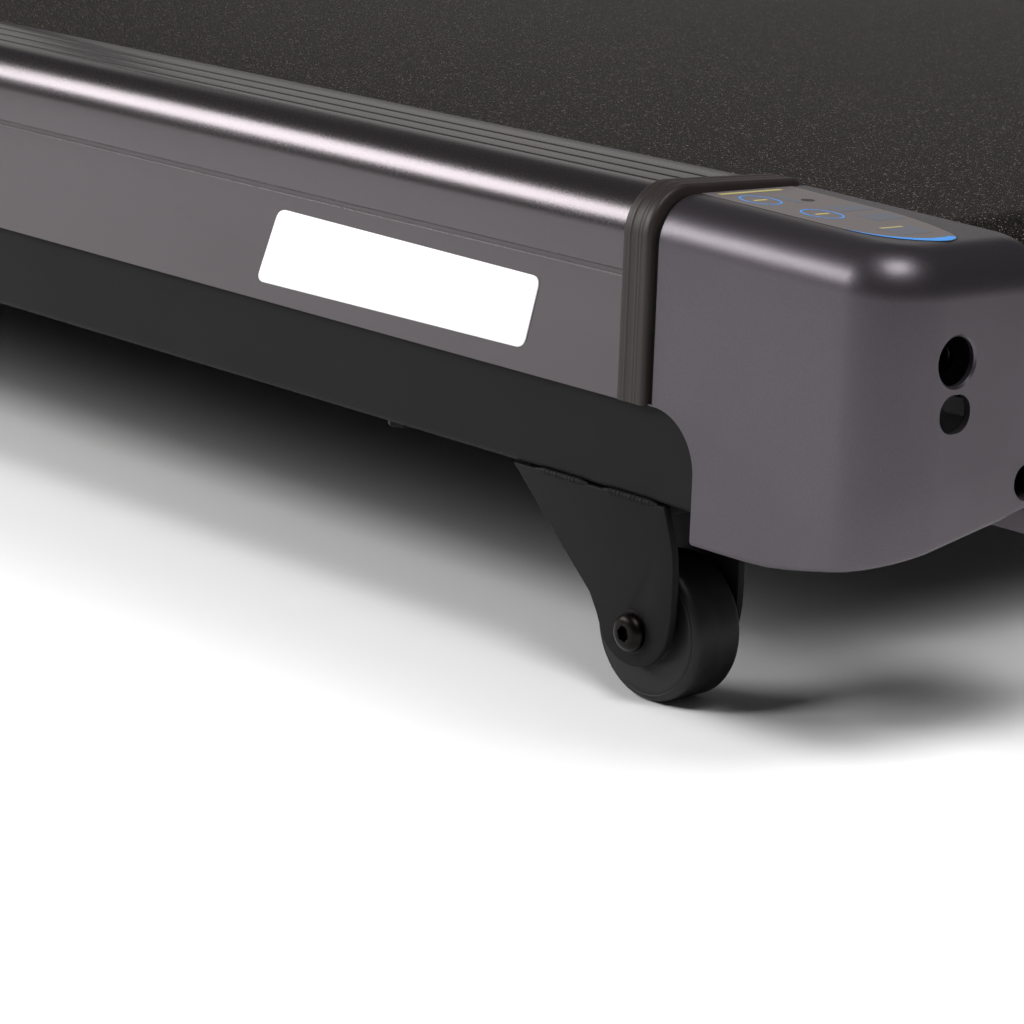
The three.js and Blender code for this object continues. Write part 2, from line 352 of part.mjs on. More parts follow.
const iTab = (x0, x1) => extX([[IM_Y - 26, 40], [IM_Y + 4, 40], [IM_Y + 10, IZ], [IM_Y + 6, IZ + 8], [IM_Y - 6, IZ + 9], [IM_Y - 12, IZ]], x0, x1);
put('base_cross_rear', add(extX(rrect(BASE_Y0, BASE_Y0 + 30, 22, 44, 3, 2), -bx, bx), iTab(-76, -71), iTab(-49, -44), cylX(5, -79, -41, IM_Y, IZ, 20)), BLACK, 0.5, 0.3);
const footGeo = latheZ([[0, 0], [19, 0], [20, 2], [17, 14], [17, 21.7], [0, 21.7]], 20);
for (const [n, x, y] of [['rear_left', -372, 150], ['rear_right', 372, 150], ['front_left', -372, 820], ['front_right', 372, 820]]) {
  put(`foot_${n}`, footGeo.clone(), RUB, 0.85, 0).position.set(x, y, 0);
}
const twProf = [[0, -17], [4, -17], [4, -11], [20.5, -11], [22, -9], [22, 9], [20.5, 11], [4, 11], [4, 17], [0, 17]];
for (const [n, s] of [['left', -1], ['right', 1]]) put(`transport_wheel_${n}`, latheX(twProf, 28), RUB, 0.75, 0).position.set(s * 372, 905, 29);

// ---------------------------------------------------------------- uprights, handrails
const UP = { y0: 836, z0: BEAM_Z1 + 0.3, y1: 742, z1: 1196 };
const uprSec = (i, dz) => loft([[UP.y0, UP.z0 - dz, 32 - i], [UP.y1, UP.z1 - 4 * i, 26 - i]].map(([y, z, w]) => rrect(-392 + i, -352 - i, -w, w, 8 - i, 3).map(([a, b]) => [a, y + b, z])));
pair('upright', cut(uprSec(0, 0), uprSec(WALL, 3)), 0x3b393c, 0.45, 0.3);
// handrail: a bar that leaves the upright's rear face and sweeps back and down a little
const rail3 = new THREE.CatmullRomCurve3([new THREE.Vector3(-372, 728.8, 1003), new THREE.Vector3(-372, 640, 1000), new THREE.Vector3(-372, 520, 985), new THREE.Vector3(-372, 420, 962), new THREE.Vector3(-372, 372, 944)]);
const ring14 = Array.from({ length: 12 }, (_, i) => { const a = i / 12 * 2 * Math.PI; return new THREE.Vector2(17 * Math.cos(a), 17 * Math.sin(a)); });
pair('handrail', new THREE.ExtrudeGeometry(new THREE.Shape(ring14), { steps: 10, extrudePath: rail3, bevelEnabled: false }), 0x222224, 0.7, 0);

// ---------------------------------------------------------------- console
const con = new THREE.Group();
con.position.set(0, CONSOLE.y, CONSOLE.z);
con.rotation.x = CONSOLE.tilt * Math.PI / 180;
root.add(con);
const face = (w, h0, h1, z, r) => rrect(-w, w, h0, h1, r, 3).map(([x, y]) => [x, y, z]);
const shell = loft([face(300, -95, 95, -34, 30), face(330, -112, 112, -20, 36), face(338, -118, 118, -2, 40), face(338, -118, 118, 10, 40), face(334, -114, 114, 16, 38), face(328, -108, 108, 18, 34)]);
const KEYS = [['start_button', -70, -70, 17], ['stop_button', 70, -70, 17], ['speed_up_button', 235, 20, 13], ['speed_down_button', 235, -30, 13], ['incline_up_button', -235, 20, 13], ['incline_down_button', -235, -30, 13]];
const keyCol = { start_button: 0x2f7d46, stop_button: 0xb3271e };
let housing = cut(shell, extZ(rrect(-170, 170, -20, 90, 10, 4), 15, 30), extZ(rrect(-14, 14, -84, -56, 4, 3), 6, 30), ...KEYS.map(([, x, y, r]) => cylZ(r + 0.8, 11, 30, x, y, 20)));
// side cheeks that sit on the uprights' inner faces
housing = add(housing, box(-351.5, -330, -40, 40, -20, 8), box(330, 351.5, -40, 40, -20, 8));
put('console_housing', housing, 0x343236, 0.5, 0, con);
for (const [n, x, y, r] of KEYS) {
  const b = latheZ([[0, 0], [r, 0], [r, 6.2], [r - 1.5, 7.9], [0, 8.2]], 20);
  const m = put(n, b, keyCol[n] ?? 0x5b5a5e, 0.5, 0, con);
  m.position.set(x, y, 14.2);
}
const key = add(extZ(rrect(-13, 13, -13, 13, 3.5, 3), 6.4, 24), extZ(rrect(-9, 9, -3, 3, 1.2, 2), 20, 38));
put('safety_key', key, 0xb3271e, 0.5, 0, con).position.set(0, -70, 0);

// ---------------------------------------------------------------- mains inlet and rocker switch on the front cross tube
put('power_inlet', cut(extX([[930.3, 29], [940, 29], [949.6, 31], [950, 33], [950, 51], [949.6, 53], [940, 55], [930.3, 55]], 296, 330), extY(rrect(301, 325, 33, 51, 3, 3), 940, 952),), 0x1b1b1d, 0.5, 0);
const rocker = put('power_switch', extX([[-2, -9], [4, -10.5], [8.5, -10], [6.8, 0], [8.5, 10], [4, 10.5], [-2, 9]], -7, 7), 0x1b1b1d, 0.45, 0);
rocker.position.set(277, 935, 42);
rocker.rotation.x = -7 * Math.PI / 180;

// ---------------------------------------------------------------- deck width
// the layout above is for a 500 mm belt; the side assemblies then move outwards for the 620 mm
// deck, and the parts that span the machine grow with them
const WIDEN = 60, MIDDLE = 216;
root.traverse((m) => {
  if (!m.isMesh) return;
  if (Math.abs(m.position.x) > MIDDLE) { m.position.x += Math.sign(m.position.x) * WIDEN; return; }
  const x0 = m.position.x + (m.parent === root ? 0 : m.parent.position.x);
  const p = m.geometry.attributes.position;
  for (let i = 0; i < p.count; i++) {
    const x = p.getX(i) + x0;
    if (Math.abs(x) > MIDDLE) p.setX(i, p.getX(i) + Math.sign(x) * WIDEN);
  }
});

export default root;
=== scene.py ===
import bpy, bmesh, json, math
import numpy as np
from mathutils import Vector, Matrix

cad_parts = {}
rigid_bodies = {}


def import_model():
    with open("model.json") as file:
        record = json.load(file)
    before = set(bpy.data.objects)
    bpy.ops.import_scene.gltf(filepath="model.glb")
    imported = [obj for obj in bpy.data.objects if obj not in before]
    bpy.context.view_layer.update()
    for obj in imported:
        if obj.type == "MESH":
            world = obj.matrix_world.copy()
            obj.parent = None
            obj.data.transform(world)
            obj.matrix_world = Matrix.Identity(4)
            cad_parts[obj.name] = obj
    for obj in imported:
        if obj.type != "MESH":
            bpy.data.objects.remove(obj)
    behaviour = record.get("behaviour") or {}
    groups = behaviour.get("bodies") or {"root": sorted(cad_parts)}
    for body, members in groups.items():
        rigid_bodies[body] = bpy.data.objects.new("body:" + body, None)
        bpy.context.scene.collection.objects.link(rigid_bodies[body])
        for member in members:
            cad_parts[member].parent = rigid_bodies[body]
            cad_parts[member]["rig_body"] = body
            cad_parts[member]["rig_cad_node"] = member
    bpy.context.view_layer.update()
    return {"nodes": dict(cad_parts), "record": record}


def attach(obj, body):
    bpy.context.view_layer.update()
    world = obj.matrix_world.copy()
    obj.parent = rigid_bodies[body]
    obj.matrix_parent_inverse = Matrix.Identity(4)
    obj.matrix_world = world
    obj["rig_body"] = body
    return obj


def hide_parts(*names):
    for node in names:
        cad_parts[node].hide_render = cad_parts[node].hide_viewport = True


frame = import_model()
NODES = frame["nodes"]
BODY_OF = {n: b for b, ns in frame["record"]["behaviour"]["bodies"].items() for n in ns}
MM = 0.001
YW = -813.0          # rear wheel axle, mm
REAR = -950.0
WIDEN, MIDDLE = 60.0, 216.0      # side pieces are laid out for a 500 mm belt and moved out for the 620 mm deck

# ------------------------------------------------------------------ camera
A, E, RHO, F = math.radians(-41.2676), math.radians(14.1507), math.radians(2.0747), 3904.89
b = Vector((math.sin(A) * math.cos(E), -math.cos(A) * math.cos(E), math.sin(E)))
r0 = Vector((math.cos(A), math.sin(A), 0))
u0 = b.cross(r0)
right = r0 * math.cos(RHO) + u0 * math.sin(RHO)
up = -r0 * math.sin(RHO) + u0 * math.cos(RHO)
cam_data = bpy.data.cameras.new("camera")
cam = bpy.data.objects.new("camera", cam_data)
bpy.context.scene.collection.objects.link(cam)
cam_data.sensor_width = 36.0
cam_data.lens = F * 36.0 / 1024.0
cam_data.clip_start = 0.05
cam_data.clip_end = 60.0
cam.matrix_world = Matrix(((right.x, up.x, b.x, -1.36488 - WIDEN * MM), (right.y, up.y, b.y, YW * MM - 1.09712), (right.z, up.z, b.z, 0.45668), (0, 0, 0, 1)))
bpy.context.scene.camera = cam


# ------------------------------------------------------------------ node-material helpers
def lin(c):
    return tuple(((v / 12.92) if v <= 0.04045 else ((v + 0.055) / 1.055) ** 2.4) for v in c)


class Mat:
    """A small builder around one Principled shader."""

    def __init__(self, name, color, rough=0.5, metal=0.0, **sockets):
        self.m = bpy.data.materials.new(name)
        self.m.use_nodes = True
        self.t = self.m.node_tree
        self.b = self.t.nodes["Principled BSDF"]
        self.base = (*lin(color), 1.0)
        self.b.inputs["Base Color"].default_value = self.base
        self.b.inputs["Roughness"].default_value = rough
        self.b.inputs["Metallic"].default_value = metal
        for k, v in sockets.items():
            self.b.inputs[k.replace("_", " ")].default_value = v
        self.tc = self.t.nodes.new("ShaderNodeTexCoord")
        self.normal = None
        self.color = None

    def link(self, a, bb):
        self.t.links.new(a, bb)

    def coords(self, stretch=(1, 1, 1), rot=(0, 0, 0)):
        mp = self.t.nodes.new("ShaderNodeMapping")
        mp.inputs["Scale"].default_value = stretch
        mp.inputs["Rotation"].default_value = rot
        self.link(self.tc.outputs["Object"], mp.inputs["Vector"])
        return mp.outputs["Vector"]

    def noise(self, scale, detail=2, rough=0.5, stretch=(1, 1, 1)):
        n = self.t.nodes.new("ShaderNodeTexNoise")
        n.inputs["Scale"].default_value = scale
        n.inputs["Detail"].default_value = detail
        n.inputs["Roughness"].default_value = rough
        self.link(self.coords(stretch), n.inputs["Vector"])
        return n.outputs["Fac"]

    def voronoi(self, scale, feature="F1", stretch=(1, 1, 1), rot=(0, 0, 0), out="Distance"):
        n = self.t.nodes.new("ShaderNodeTexVoronoi")
        n.feature = feature
        n.inputs["Scale"].default_value = scale
        self.link(self.coords(stretch, rot), n.inputs["Vector"])
        return n.outputs[out]

    def wave(self, scale, axis="X", distort=0.0, profile="SIN", rot=(0, 0, 0), stretch=(1, 1, 1)):
        n = self.t.nodes.new("ShaderNodeTexWave")
        n.wave_type = "BANDS"
        n.bands_direction = axis
        n.wave_profile = profile
        n.inputs["Scale"].default_value = scale
        n.inputs["Distortion"].default_value = distort
        self.link(self.coords(stretch, rot), n.inputs["Vector"])
        return n.outputs["Fac"]

    def ramp(self, fac, stops):
        n = self.t.nodes.new("ShaderNodeValToRGB")
        cr = n.color_ramp
        while len(cr.elements) < len(stops):
            cr.elements.new(0.5)
        for el, (p, c) in zip(cr.elements, stops):
            el.position = p
            el.color = (c, c, c, 1) if isinstance(c, (int, float)) else (*c, 1)
        self.link(fac, n.inputs["Fac"])
        return n.outputs["Color"]

    def math(self, op, x, y, clamp=False):
        n = self.t.nodes.new("ShaderNodeMath")
        n.operation = op
        n.use_clamp = clamp
        for i, v in enumerate((x, y)):
            if isinstance(v, (int, float)):
                n.inputs[i].default_value = v
            else:
                self.link(v, n.inputs[i])
        return n.outputs[0]

    def rng(self, fac, lo, hi, a=0.0, bb=1.0):
        n = self.t.nodes.new("ShaderNodeMapRange")
        n.inputs["From Min"].default_value = a
        n.inputs["From Max"].default_value = bb
        n.inputs["To Min"].default_value = lo
        n.inputs["To Max"].default_value = hi
        self.link(fac, n.inputs["Value"])
        return n.outputs["Result"]

    def tint(self, fac, color, amount=1.0, mode="MIX"):
        """mixes a second colour in where fac is high"""
        n = self.t.nodes.new("ShaderNodeMix")
        n.data_type = "RGBA"
        n.blend_type = mode
        n.clamp_factor = True
        if isinstance(fac, (int, float)):
            n.inputs["Factor"].default_value = fac * amount
        else:
            f = self.math("MULTIPLY", fac, amount)
            self.link(f, n.inputs["Factor"])
        if self.color is None:
            n.inputs["A"].default_value = self.base
        else:
            self.link(self.color, n.inputs["A"])
        n.inputs["B"].default_value = (*lin(color), 1)
        self.color = n.outputs["Result"]
        self.link(self.color, self.b.inputs["Base Color"])
        return self

    def rough(self, fac, lo, hi):
        self.link(self.rng(fac, lo, hi), self.b.inputs["Roughness"])
        return self

    def bump(self, height, strength, distance):
        n = self.t.nodes.new("ShaderNodeBump")
        n.inputs["Strength"].default_value = strength
        n.inputs["Distance"].default_value = distance
        self.link(height, n.inputs["Height"])
        if self.normal is not None:
            self.link(self.normal, n.inputs["Normal"])
        self.normal = n.outputs["Normal"]
        self.link(self.normal, self.b.inputs["Normal"])
        return self


def m_paint(name, color, rough=0.36, metal=0.75, grain=1.0, along_y=False, coat=0.15):
    """satin metallic paint: fine flake, faint orange peel, cloudy tone, hairline scuffs"""
    k = Mat(name, color, rough, metal, Coat_Weight=coat, Coat_Roughness=0.25)
    flake = k.noise(2600, 2, 0.7)
    cloud = k.noise(14, 3, 0.55, (1, 0.35, 1) if along_y else (1, 1, 1))
    lighter = tuple(min(1, c * 1.16 + 0.02) for c in color)
    darker = tuple(c * 0.88 for c in color)
    k.tint(k.rng(flake, 0, 1, 0.50, 0.78), lighter, 0.75)
    k.tint(k.rng(cloud, 0, 1, 0.45, 0.75), darker, 0.35)
    scuff = k.noise(260, 6, 0.75, (1, 0.06, 1))
    k.tint(k.rng(scuff, 0, 1, 0.66, 0.74), lighter, 0.16)
    k.rough(k.math("ADD", k.math("MULTIPLY", flake, 0.55), k.math("MULTIPLY", cloud, 0.45)), rough - 0.09, rough + 0.11)
    k.bump(flake, 0.10 * grain, 0.00012)
    k.bump(k.noise(420, 2, 0.5), 0.05, 0.0003)
    return k.m


def m_powder(name, color, rough=0.52):
    """powder coat: orange-peel skin, dust specks, rub marks"""
    k = Mat(name, color, rough, 0.0, Specular_IOR_Level=0.13)
    peel = k.noise(900, 3, 0.55)
    cloud = k.noise(9, 4, 0.6)
    k.tint(k.rng(cloud, 0, 1, 0.4, 0.8), tuple(c * 1.12 + 0.006 for c in color), 0.6)
    k.tint(k.rng(k.noise(700, 2, 0.9), 0, 1, 0.72, 0.80), tuple(c + 0.05 for c in color), 0.3)
    k.rough(cloud, rough - 0.09, rough + 0.12)
    k.bump(peel, 0.16, 0.00018)
    k.bump(k.noise(60, 2, 0.5), 0.05, 0.0008)
    return k.m


def m_rubber(name, color, rough=0.7, grain=1100, ribs=None):
    k = Mat(name, color, rough, 0.0, Specular_IOR_Level=0.35)
    n1 = k.noise(grain, 3, 0.6)
    cloud = k.noise(22, 4, 0.65)
    k.tint(k.rng(cloud, 0, 1, 0.42, 0.8), tuple(c * 1.25 + 0.015 for c in color), 0.55)
    k.tint(k.rng(k.noise(120, 5, 0.8), 0, 1, 0.60, 0.75), tuple(c * 0.7 for c in color), 0.4)
    k.rough(cloud, rough - 0.1, rough + 0.12)
    k.bump(n1, 0.22, 0.00015)
    if ribs:
        k.bump(k.wave(ribs, "Y"), 0.25, 0.0002)
    return k.m


def m_plastic(name, color, rough=0.5, grain=1400, strength=0.22, coat=0.0):
    """moulded plastic with a fine spark-eroded texture"""
    k = Mat(name, color, rough, 0.0, Specular_IOR_Level=0.45, Coat_Weight=coat, Coat_Roughness=0.1)
    g = k.voronoi(grain, "SMOOTH_F1")
    cloud = k.noise(11, 4, 0.6)
    k.tint(k.rng(cloud, 0, 1, 0.42, 0.8), tuple(min(1, c * 1.15 + 0.01) for c in color), 0.5)
    k.tint(k.rng(k.noise(180, 5, 0.8), 0, 1, 0.64, 0.8), tuple(min(1, c * 1.3 + 0.02) for c in color), 0.25)
    k.rough(cloud, rough - 0.07, rough + 0.1)
    k.bump(g, strength, 0.00012)
    return k.m


def m_steel(name, color, rough=0.28, turned="X"):
    k = Mat(name, color, rough, 1.0)
    s = {"X": (1, 0.02, 0.02), "Y": (0.02, 1, 0.02), "Z": (0.02, 0.02, 1)}[turned]
    lines = k.noise(2200, 2, 0.6, s)
    cloud = k.noise(30, 4, 0.6)
    k.tint(k.rng(lines, 0, 1, 0.4, 0.7), tuple(c * 0.75 for c in color), 0.5)
    k.tint(k.rng(cloud, 0, 1, 0.5, 0.8), tuple(c * 0.8 for c in color), 0.4)
    k.rough(k.math("MULTIPLY", lines, cloud), rough - 0.05, rough + 0.45)
    k.bump(lines, 0.12, 0.00008)
    return k.m


M = {}
M["rail"] = m_paint("rail_gunmetal_paint", (0.308, 0.287, 0.299), 0.27, 0.88, 1.2, True, 0.30)
M["cap"] = m_paint("cap_gunmetal_paint", (0.328, 0.308, 0.328), 0.38, 0.88, 3.0)
M["band"] = m_rubber("trim_rubber", (0.148, 0.124, 0.118), 0.50, 1500)
M["powder"] = m_powder("black_powder_coat", (0.074, 0.070, 0.077), 0.55)
M["wheel"] = m_rubber("wheel_rubber", (0.062, 0.060, 0.064), 0.5, 1300)
# near-black material for the strip in the gap behind the trim band: painted shade, not a real gasket
M["gasket"] = m_rubber("gap_gasket", (0.012, 0.012, 0.013), 0.9, 900)
M["hub"] = m_plastic("wheel_hub_nylon", (0.10, 0.10, 0.105), 0.42)
M["bolt"] = m_steel("black_oxide_steel", (0.13, 0.12, 0.115), 0.26, "X")
M["steel"] = m_steel("turned_steel", (0.62, 0.62, 0.63), 0.26, "X")
M["screwsteel"] = m_steel("screw_steel", (0.55, 0.55, 0.56), 0.24, "Y")
M["chrome"] = m_steel("chromed_rod", (0.80, 0.80, 0.81), 0.12, "Y")
M["hood"] = m_plastic("hood_black_plastic", (0.135, 0.133, 0.138), 0.46)
M["plastic"] = m_plastic("black_fine_plastic", (0.10, 0.10, 0.104), 0.48)
M["console"] = m_plastic("console_plastic", (0.155, 0.153, 0.158), 0.44)
M["bezel"] = m_plastic("console_bezel_gloss", (0.05, 0.05, 0.055), 0.20, 500, 0.04, 0.5)
M["grip"] = m_rubber("grip_foam", (0.10, 0.10, 0.104), 0.8, 700)
M["key_grey"] = m_plastic("key_grey", (0.42, 0.42, 0.43), 0.45)
M["key_green"] = m_plastic("key_green", (0.11, 0.45, 0.22), 0.4)
M["key_red"] = m_plastic("key_red", (0.72, 0.08, 0.06), 0.38)
M["icon"] = m_plastic("icon_white_print", (0.86, 0.86, 0.85), 0.5, 2000, 0.05)
M["motor"] = m_paint("motor_paint", (0.20, 0.20, 0.21), 0.42, 0.3, 1.0)
M["sink"] = m_steel("heatsink_aluminium", (0.60, 0.61, 0.63), 0.34, "Y")
M["badge"] = m_plastic("badge_white", (0.97, 0.97, 0.965), 0.34, 2400, 0.03)
M["label"] = m_plastic("label_grey_film", (0.33, 0.305, 0.305), 0.36, 1800, 0.05)
M["label_patch"] = m_plastic("label_blue_grey_patch", (0.30, 0.31, 0.345), 0.36, 1800, 0.05)
M["label_edge"] = m_plastic("label_dark_edge", (0.10, 0.095, 0.10), 0.4, 1800, 0.08)
M["label_blue"] = m_plastic("label_blue_print", (0.10, 0.50, 0.82), 0.28, 2000, 0.03)
M["label_pale"] = m_plastic("label_pale_print", (0.62, 0.58, 0.36), 0.35, 2000, 0.03)
M["glass"] = m_plastic("display_lens", (0.022, 0.024, 0.028), 0.07, 300, 0.01, 1.0)
M["wood"] = Mat("deck_board_fibre", (0.42, 0.31, 0.20), 0.6).m


def build_belt():
    """woven PVC belt with a fine pressed diamond grain that glitters at the roller; the bright specks in its colour are
    painted glints
    """
    k = Mat("running_belt_pvc", (0.042, 0.036, 0.031), 0.60, 0.0, Specular_IOR_Level=0.22)
    d1 = k.wave(210, "X", 0.6, "SIN", (0, 0, math.radians(32)))
    d2 = k.wave(210, "X", 0.6, "SIN", (0, 0, math.radians(-32)))
    grid = k.math("MULTIPLY", d1, d2)
    speck = k.voronoi(900, "F1", out="Distance")
    fine = k.noise(620, 4, 0.85)
    cloud = k.noise(7, 5, 0.62)
    k.tint(k.rng(cloud, 0, 1, 0.4, 0.75), (0.060, 0.053, 0.047), 0.6)
    k.tint(k.rng(fine, 0, 1, 0.50, 0.66), (0.185, 0.158, 0.134), 0.85)
    k.tint(k.rng(speck, 0, 1, 0.35, 0.7), (0.020, 0.018, 0.016), 0.7)
    # bright specks painted into the base colour: painted glints standing in for the belt's glitter
    k.tint(k.rng(k.noise(1000, 2, 0.6), 0, 1, 0.66, 0.69), (0.60, 0.55, 0.49), 0.85)
    k.rough(k.math("MULTIPLY", fine, 1.0), 0.30, 0.68)
    k.bump(grid, 0.30, 0.0003)
    k.bump(fine, 0.75, 0.00035)
    k.bump(speck, 0.45, 0.00025)
    return k.m


M["belt"] = build_belt()


def build_wood():
    k = Mat("deck_board_phenolic", (0.36, 0.26, 0.17), 0.5, 0.0)
    g = k.noise(60, 6, 0.7, (1, 0.08, 4))
    k.tint(k.rng(g, 0, 1, 0.35, 0.75), (0.22, 0.15, 0.10), 0.8)
    k.rough(g, 0.35, 0.65)
    k.bump(g, 0.2, 0.0003)
    return k.m


M["wood"] = build_wood()


# ------------------------------------------------------------------ mesh helpers (input in mm)
def widen(me):
    """moves the side assemblies out to the full deck width, and stretches what spans the machine"""
    co = np.zeros(len(me.vertices) * 3, np.float32)
    me.vertices.foreach_get("co", co)
    x = co[0::3]
    x += np.where(np.abs(x) > MIDDLE * MM, np.sign(x) * WIDEN * MM, 0).astype(np.float32)
    me.vertices.foreach_set("co", co)


def finish_mesh(name, me, mat, body, angle=32, node=None, slot=None, wide=True):
    if wide:
        widen(me)
    me.validate()
    me.update()
    me.shade_smooth()
    me.set_sharp_from_angle(angle=math.radians(angle))
    o = bpy.data.objects.new(name, me)
    bpy.context.scene.collection.objects.link(o)
    mats = mat if isinstance(mat, (list, tuple)) else [mat]
    for mm in mats:
        me.materials.append(M[mm] if isinstance(mm, str) else mm)
    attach(o, body)
    if node:
        for nd in (node if isinstance(node, (list, tuple)) else [node]):
            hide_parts(nd)
    return o


def bm_from(verts, faces):
    bm = bmesh.new()
    vs = [bm.verts.new(Vector(v) * MM) for v in verts]
    for f in faces:
        try:
            bm.faces.new([vs[i] for i in f])
        except ValueError:
            pass
    bmesh.ops.remove_doubles(bm, verts=bm.verts, dist=1e-7)
    bmesh.ops.recalc_face_normals(bm, faces=bm.faces)
    return bm


def to_mesh(bm, name="m"):
    me = bpy.data.meshes.new(name)
    bm.to_mesh(me)
    bm.free()
    return me


def obj_of(me):
    o = bpy.data.objects.new("tmp", me)
    bpy.context.scene.collection.objects.link(o)
    return o


def drop(o):
    me = o.data
    bpy.data.objects.remove(o)
    if me.users == 0:
        bpy.data.meshes.remove(me)


def evaluated(o):
    bpy.context.view_layer.update()
    dg = bpy.context.evaluated_depsgraph_get()
    me = bpy.data.meshes.new_from_object(o.evaluated_get(dg))
    drop(o)
    return me


def boolean(me, cutters, op="DIFFERENCE"):
    o = obj_of(me)
    cs = []
    for c in cutters:
        co = obj_of(c)
        cs.append(co)
        md = o.modifiers.new("b", "BOOLEAN")
        md.operation = op
        md.solver = "EXACT"
        md.object = co
    out = evaluated(o)
    for c in cs:
        drop(c)
    return out


def bevel(me, width, segs=2, angle=35, profile=0.5):
    o = obj_of(me)
    md = o.modifiers.new("bev", "BEVEL")
    md.width = width * MM
    md.segments = segs
    md.limit_method = "ANGLE"
    md.angle_limit = math.radians(angle)
    md.harden_normals = False
    md.use_clamp_overlap = True
    md.profile = profile
    return evaluated(o)


def arc(cx, cy, r, a0, a1, n):
    return [(cx + r * math.cos(math.radians(a0 + (a1 - a0) * i / n)), cy + r * math.sin(math.radians(a0 + (a1 - a0) * i / n))) for i in range(n + 1)]


def rrect(x0, x1, y0, y1, r, n=6):
    return arc(x1 - r, y0 + r, r, -90, 0, n) + arc(x1 - r, y1 - r, r, 0, 90, n) + arc(x0 + r, y1 - r, r, 90, 180, n) + arc(x0 + r, y0 + r, r, 180, 270, n)


def prism(pts, a0, a1, axis):
    """a polygon drawn out along an axis: X takes (y, z), Y takes (x, z), Z takes (x, y)"""
    place = {"X": lambda p, a: (a, p[0], p[1]), "Y": lambda p, a: (p[0], a, p[1]), "Z": lambda p, a: (p[0], p[1], a)}[axis]
    n = len(pts)
    v = [place(p, a0) for p in pts] + [place(p, a1) for p in pts]
    f = [tuple(range(n)), tuple(range(2 * n - 1, n - 1, -1))] + [(i, (i + 1) % n, n + (i + 1) % n, n + i) for i in range(n)]
    return to_mesh(bm_from(v, f))


def loft(rings, close_ring=True, caps=True):
    n = len(rings[0])
    v = [p for r in rings for p in r]
    f = []
    for k in range(len(rings) - 1):
        for i in range(n if close_ring else n - 1):
            j = (i + 1) % n
            f.append((k * n + i, k * n + j, (k + 1) * n + j, (k + 1) * n + i))
    if caps:
        f.append(tuple(range(n)))
        f.append(tuple(range((len(rings) - 1) * n, len(rings) * n)))
    return to_mesh(bm_from(v, f))


def lathe(profile, centre, axis="X", n=64):
    """closed profile of (radius, along) turned about an axis through centre; r = 0 ends close it"""
    cx, cy, cz = centre
    rings = []
    for i in range(n):
        a = 2 * math.pi * i / n
        c, s = math.cos(a), math.sin(a)
        if axis == "X":
            rings.append([(cx + l, cy + r * c, cz + r * s) for r, l in profile])
        elif axis == "Y":
            rings.append([(cx + r * c, cy + l, cz + r * s) for r, l in profile])
        else:
            rings.append([(cx + r * c, cy + r * s, cz + l) for r, l in profile])
    m = len(profile)
    v = [p for r in rings for p in r]
    f = []
    closed = profile[0][0] > 1e-6
    for i in range(n):
        j = (i + 1) % n
        for k in range(m if closed else m - 1):
            q = (k + 1) % m
            f.append((i * m + k, i * m + q, j * m + q, j * m + k))
    bm = bm_from(v, [])
    bm.free()
    bm = bmesh.new()
    vs = [bm.verts.new(Vector(p) * MM) for p in v]
    for q in f:
        bm.faces.new([vs[i] for i in q])
    bmesh.ops.remove_doubles(bm, verts=bm.verts, dist=2e-7)
    bmesh.ops.dissolve_degenerate(bm, edges=bm.edges, dist=1e-7)
    bmesh.ops.recalc_face_normals(bm, faces=bm.faces)
    return to_mesh(bm)


def tube(path, section, up_hint=(1, 0, 0), caps=True):
    """section (a, b) swept along path points, mm; section may be a function of t"""
    P = [Vector(p) for p in path]
    rings = []
    for i, p in enumerate(P):
        t = (P[min(i + 1, len(P) - 1)] - P[max(i - 1, 0)]).normalized()
        x = Vector(up_hint)
        x = (x - t * x.dot(t)).normalized()
        y = t.cross(x)
        sec = section(i / (len(P) - 1)) if callable(section) else section
        rings.append([tuple(p + x * a + y * c) for a, c in sec])
    return loft(rings, True, caps)


def circle(r, n=24):
    return [(r * math.cos(2 * math.pi * i / n), r * math.sin(2 * math.pi * i / n)) for i in range(n)]


def merge(*mes):
    bm = bmesh.new()
    for me in mes:
        bm.from_mesh(me)
    return to_mesh(bm)


def mirrored(me):
    out = me.copy()
    out.transform(Matrix.Scale(-1, 4, (1, 0, 0)))
    out.flip_normals()
    return out


def pair(name, me, mat, body, nodes=None, angle=32):
    me2 = mirrored(me)
    bl, br = (body, body) if isinstance(body, str) else body
    l = finish_mesh(name + "_left", me, mat, bl, angle, nodes[0] if nodes else None)
    r = finish_mesh(name + "_right", me2, mat, br, angle, nodes[1] if nodes else None)
    return l, r


def refine(node, mat, bev=0.0, segs=2, angle=32, dissolve=True):
    """a finer piece made over a CAD node: same surface, with rounded edges and smooth curved faces"""
    src = NODES[node].data
    bm = bmesh.new()
    bm.from_mesh(src)
    bmesh.ops.remove_doubles(bm, verts=bm.verts, dist=2e-6)
    if dissolve:
        bmesh.ops.dissolve_limit(bm, angle_limit=math.radians(0.4), verts=bm.verts, edges=bm.edges)
    me = bpy.data.meshes.new(node + "_fine")
    bm.to_mesh(me)
    bm.free()
    if bev:
        me = bevel(me, bev, segs, 40)
    me.materials.clear()
    return finish_mesh(node + "_fine", me, mat, BODY_OF[node], angle, node, wide=False)


# ------------------------------------------------------------------ side rails
HW, RI, RR = 340.0, 252.0, 19.0
RT, RF = 209.0, 6.0


def top_z(x):
    return RT - RF * (x + HW - RR) / (HW - RR - RI)


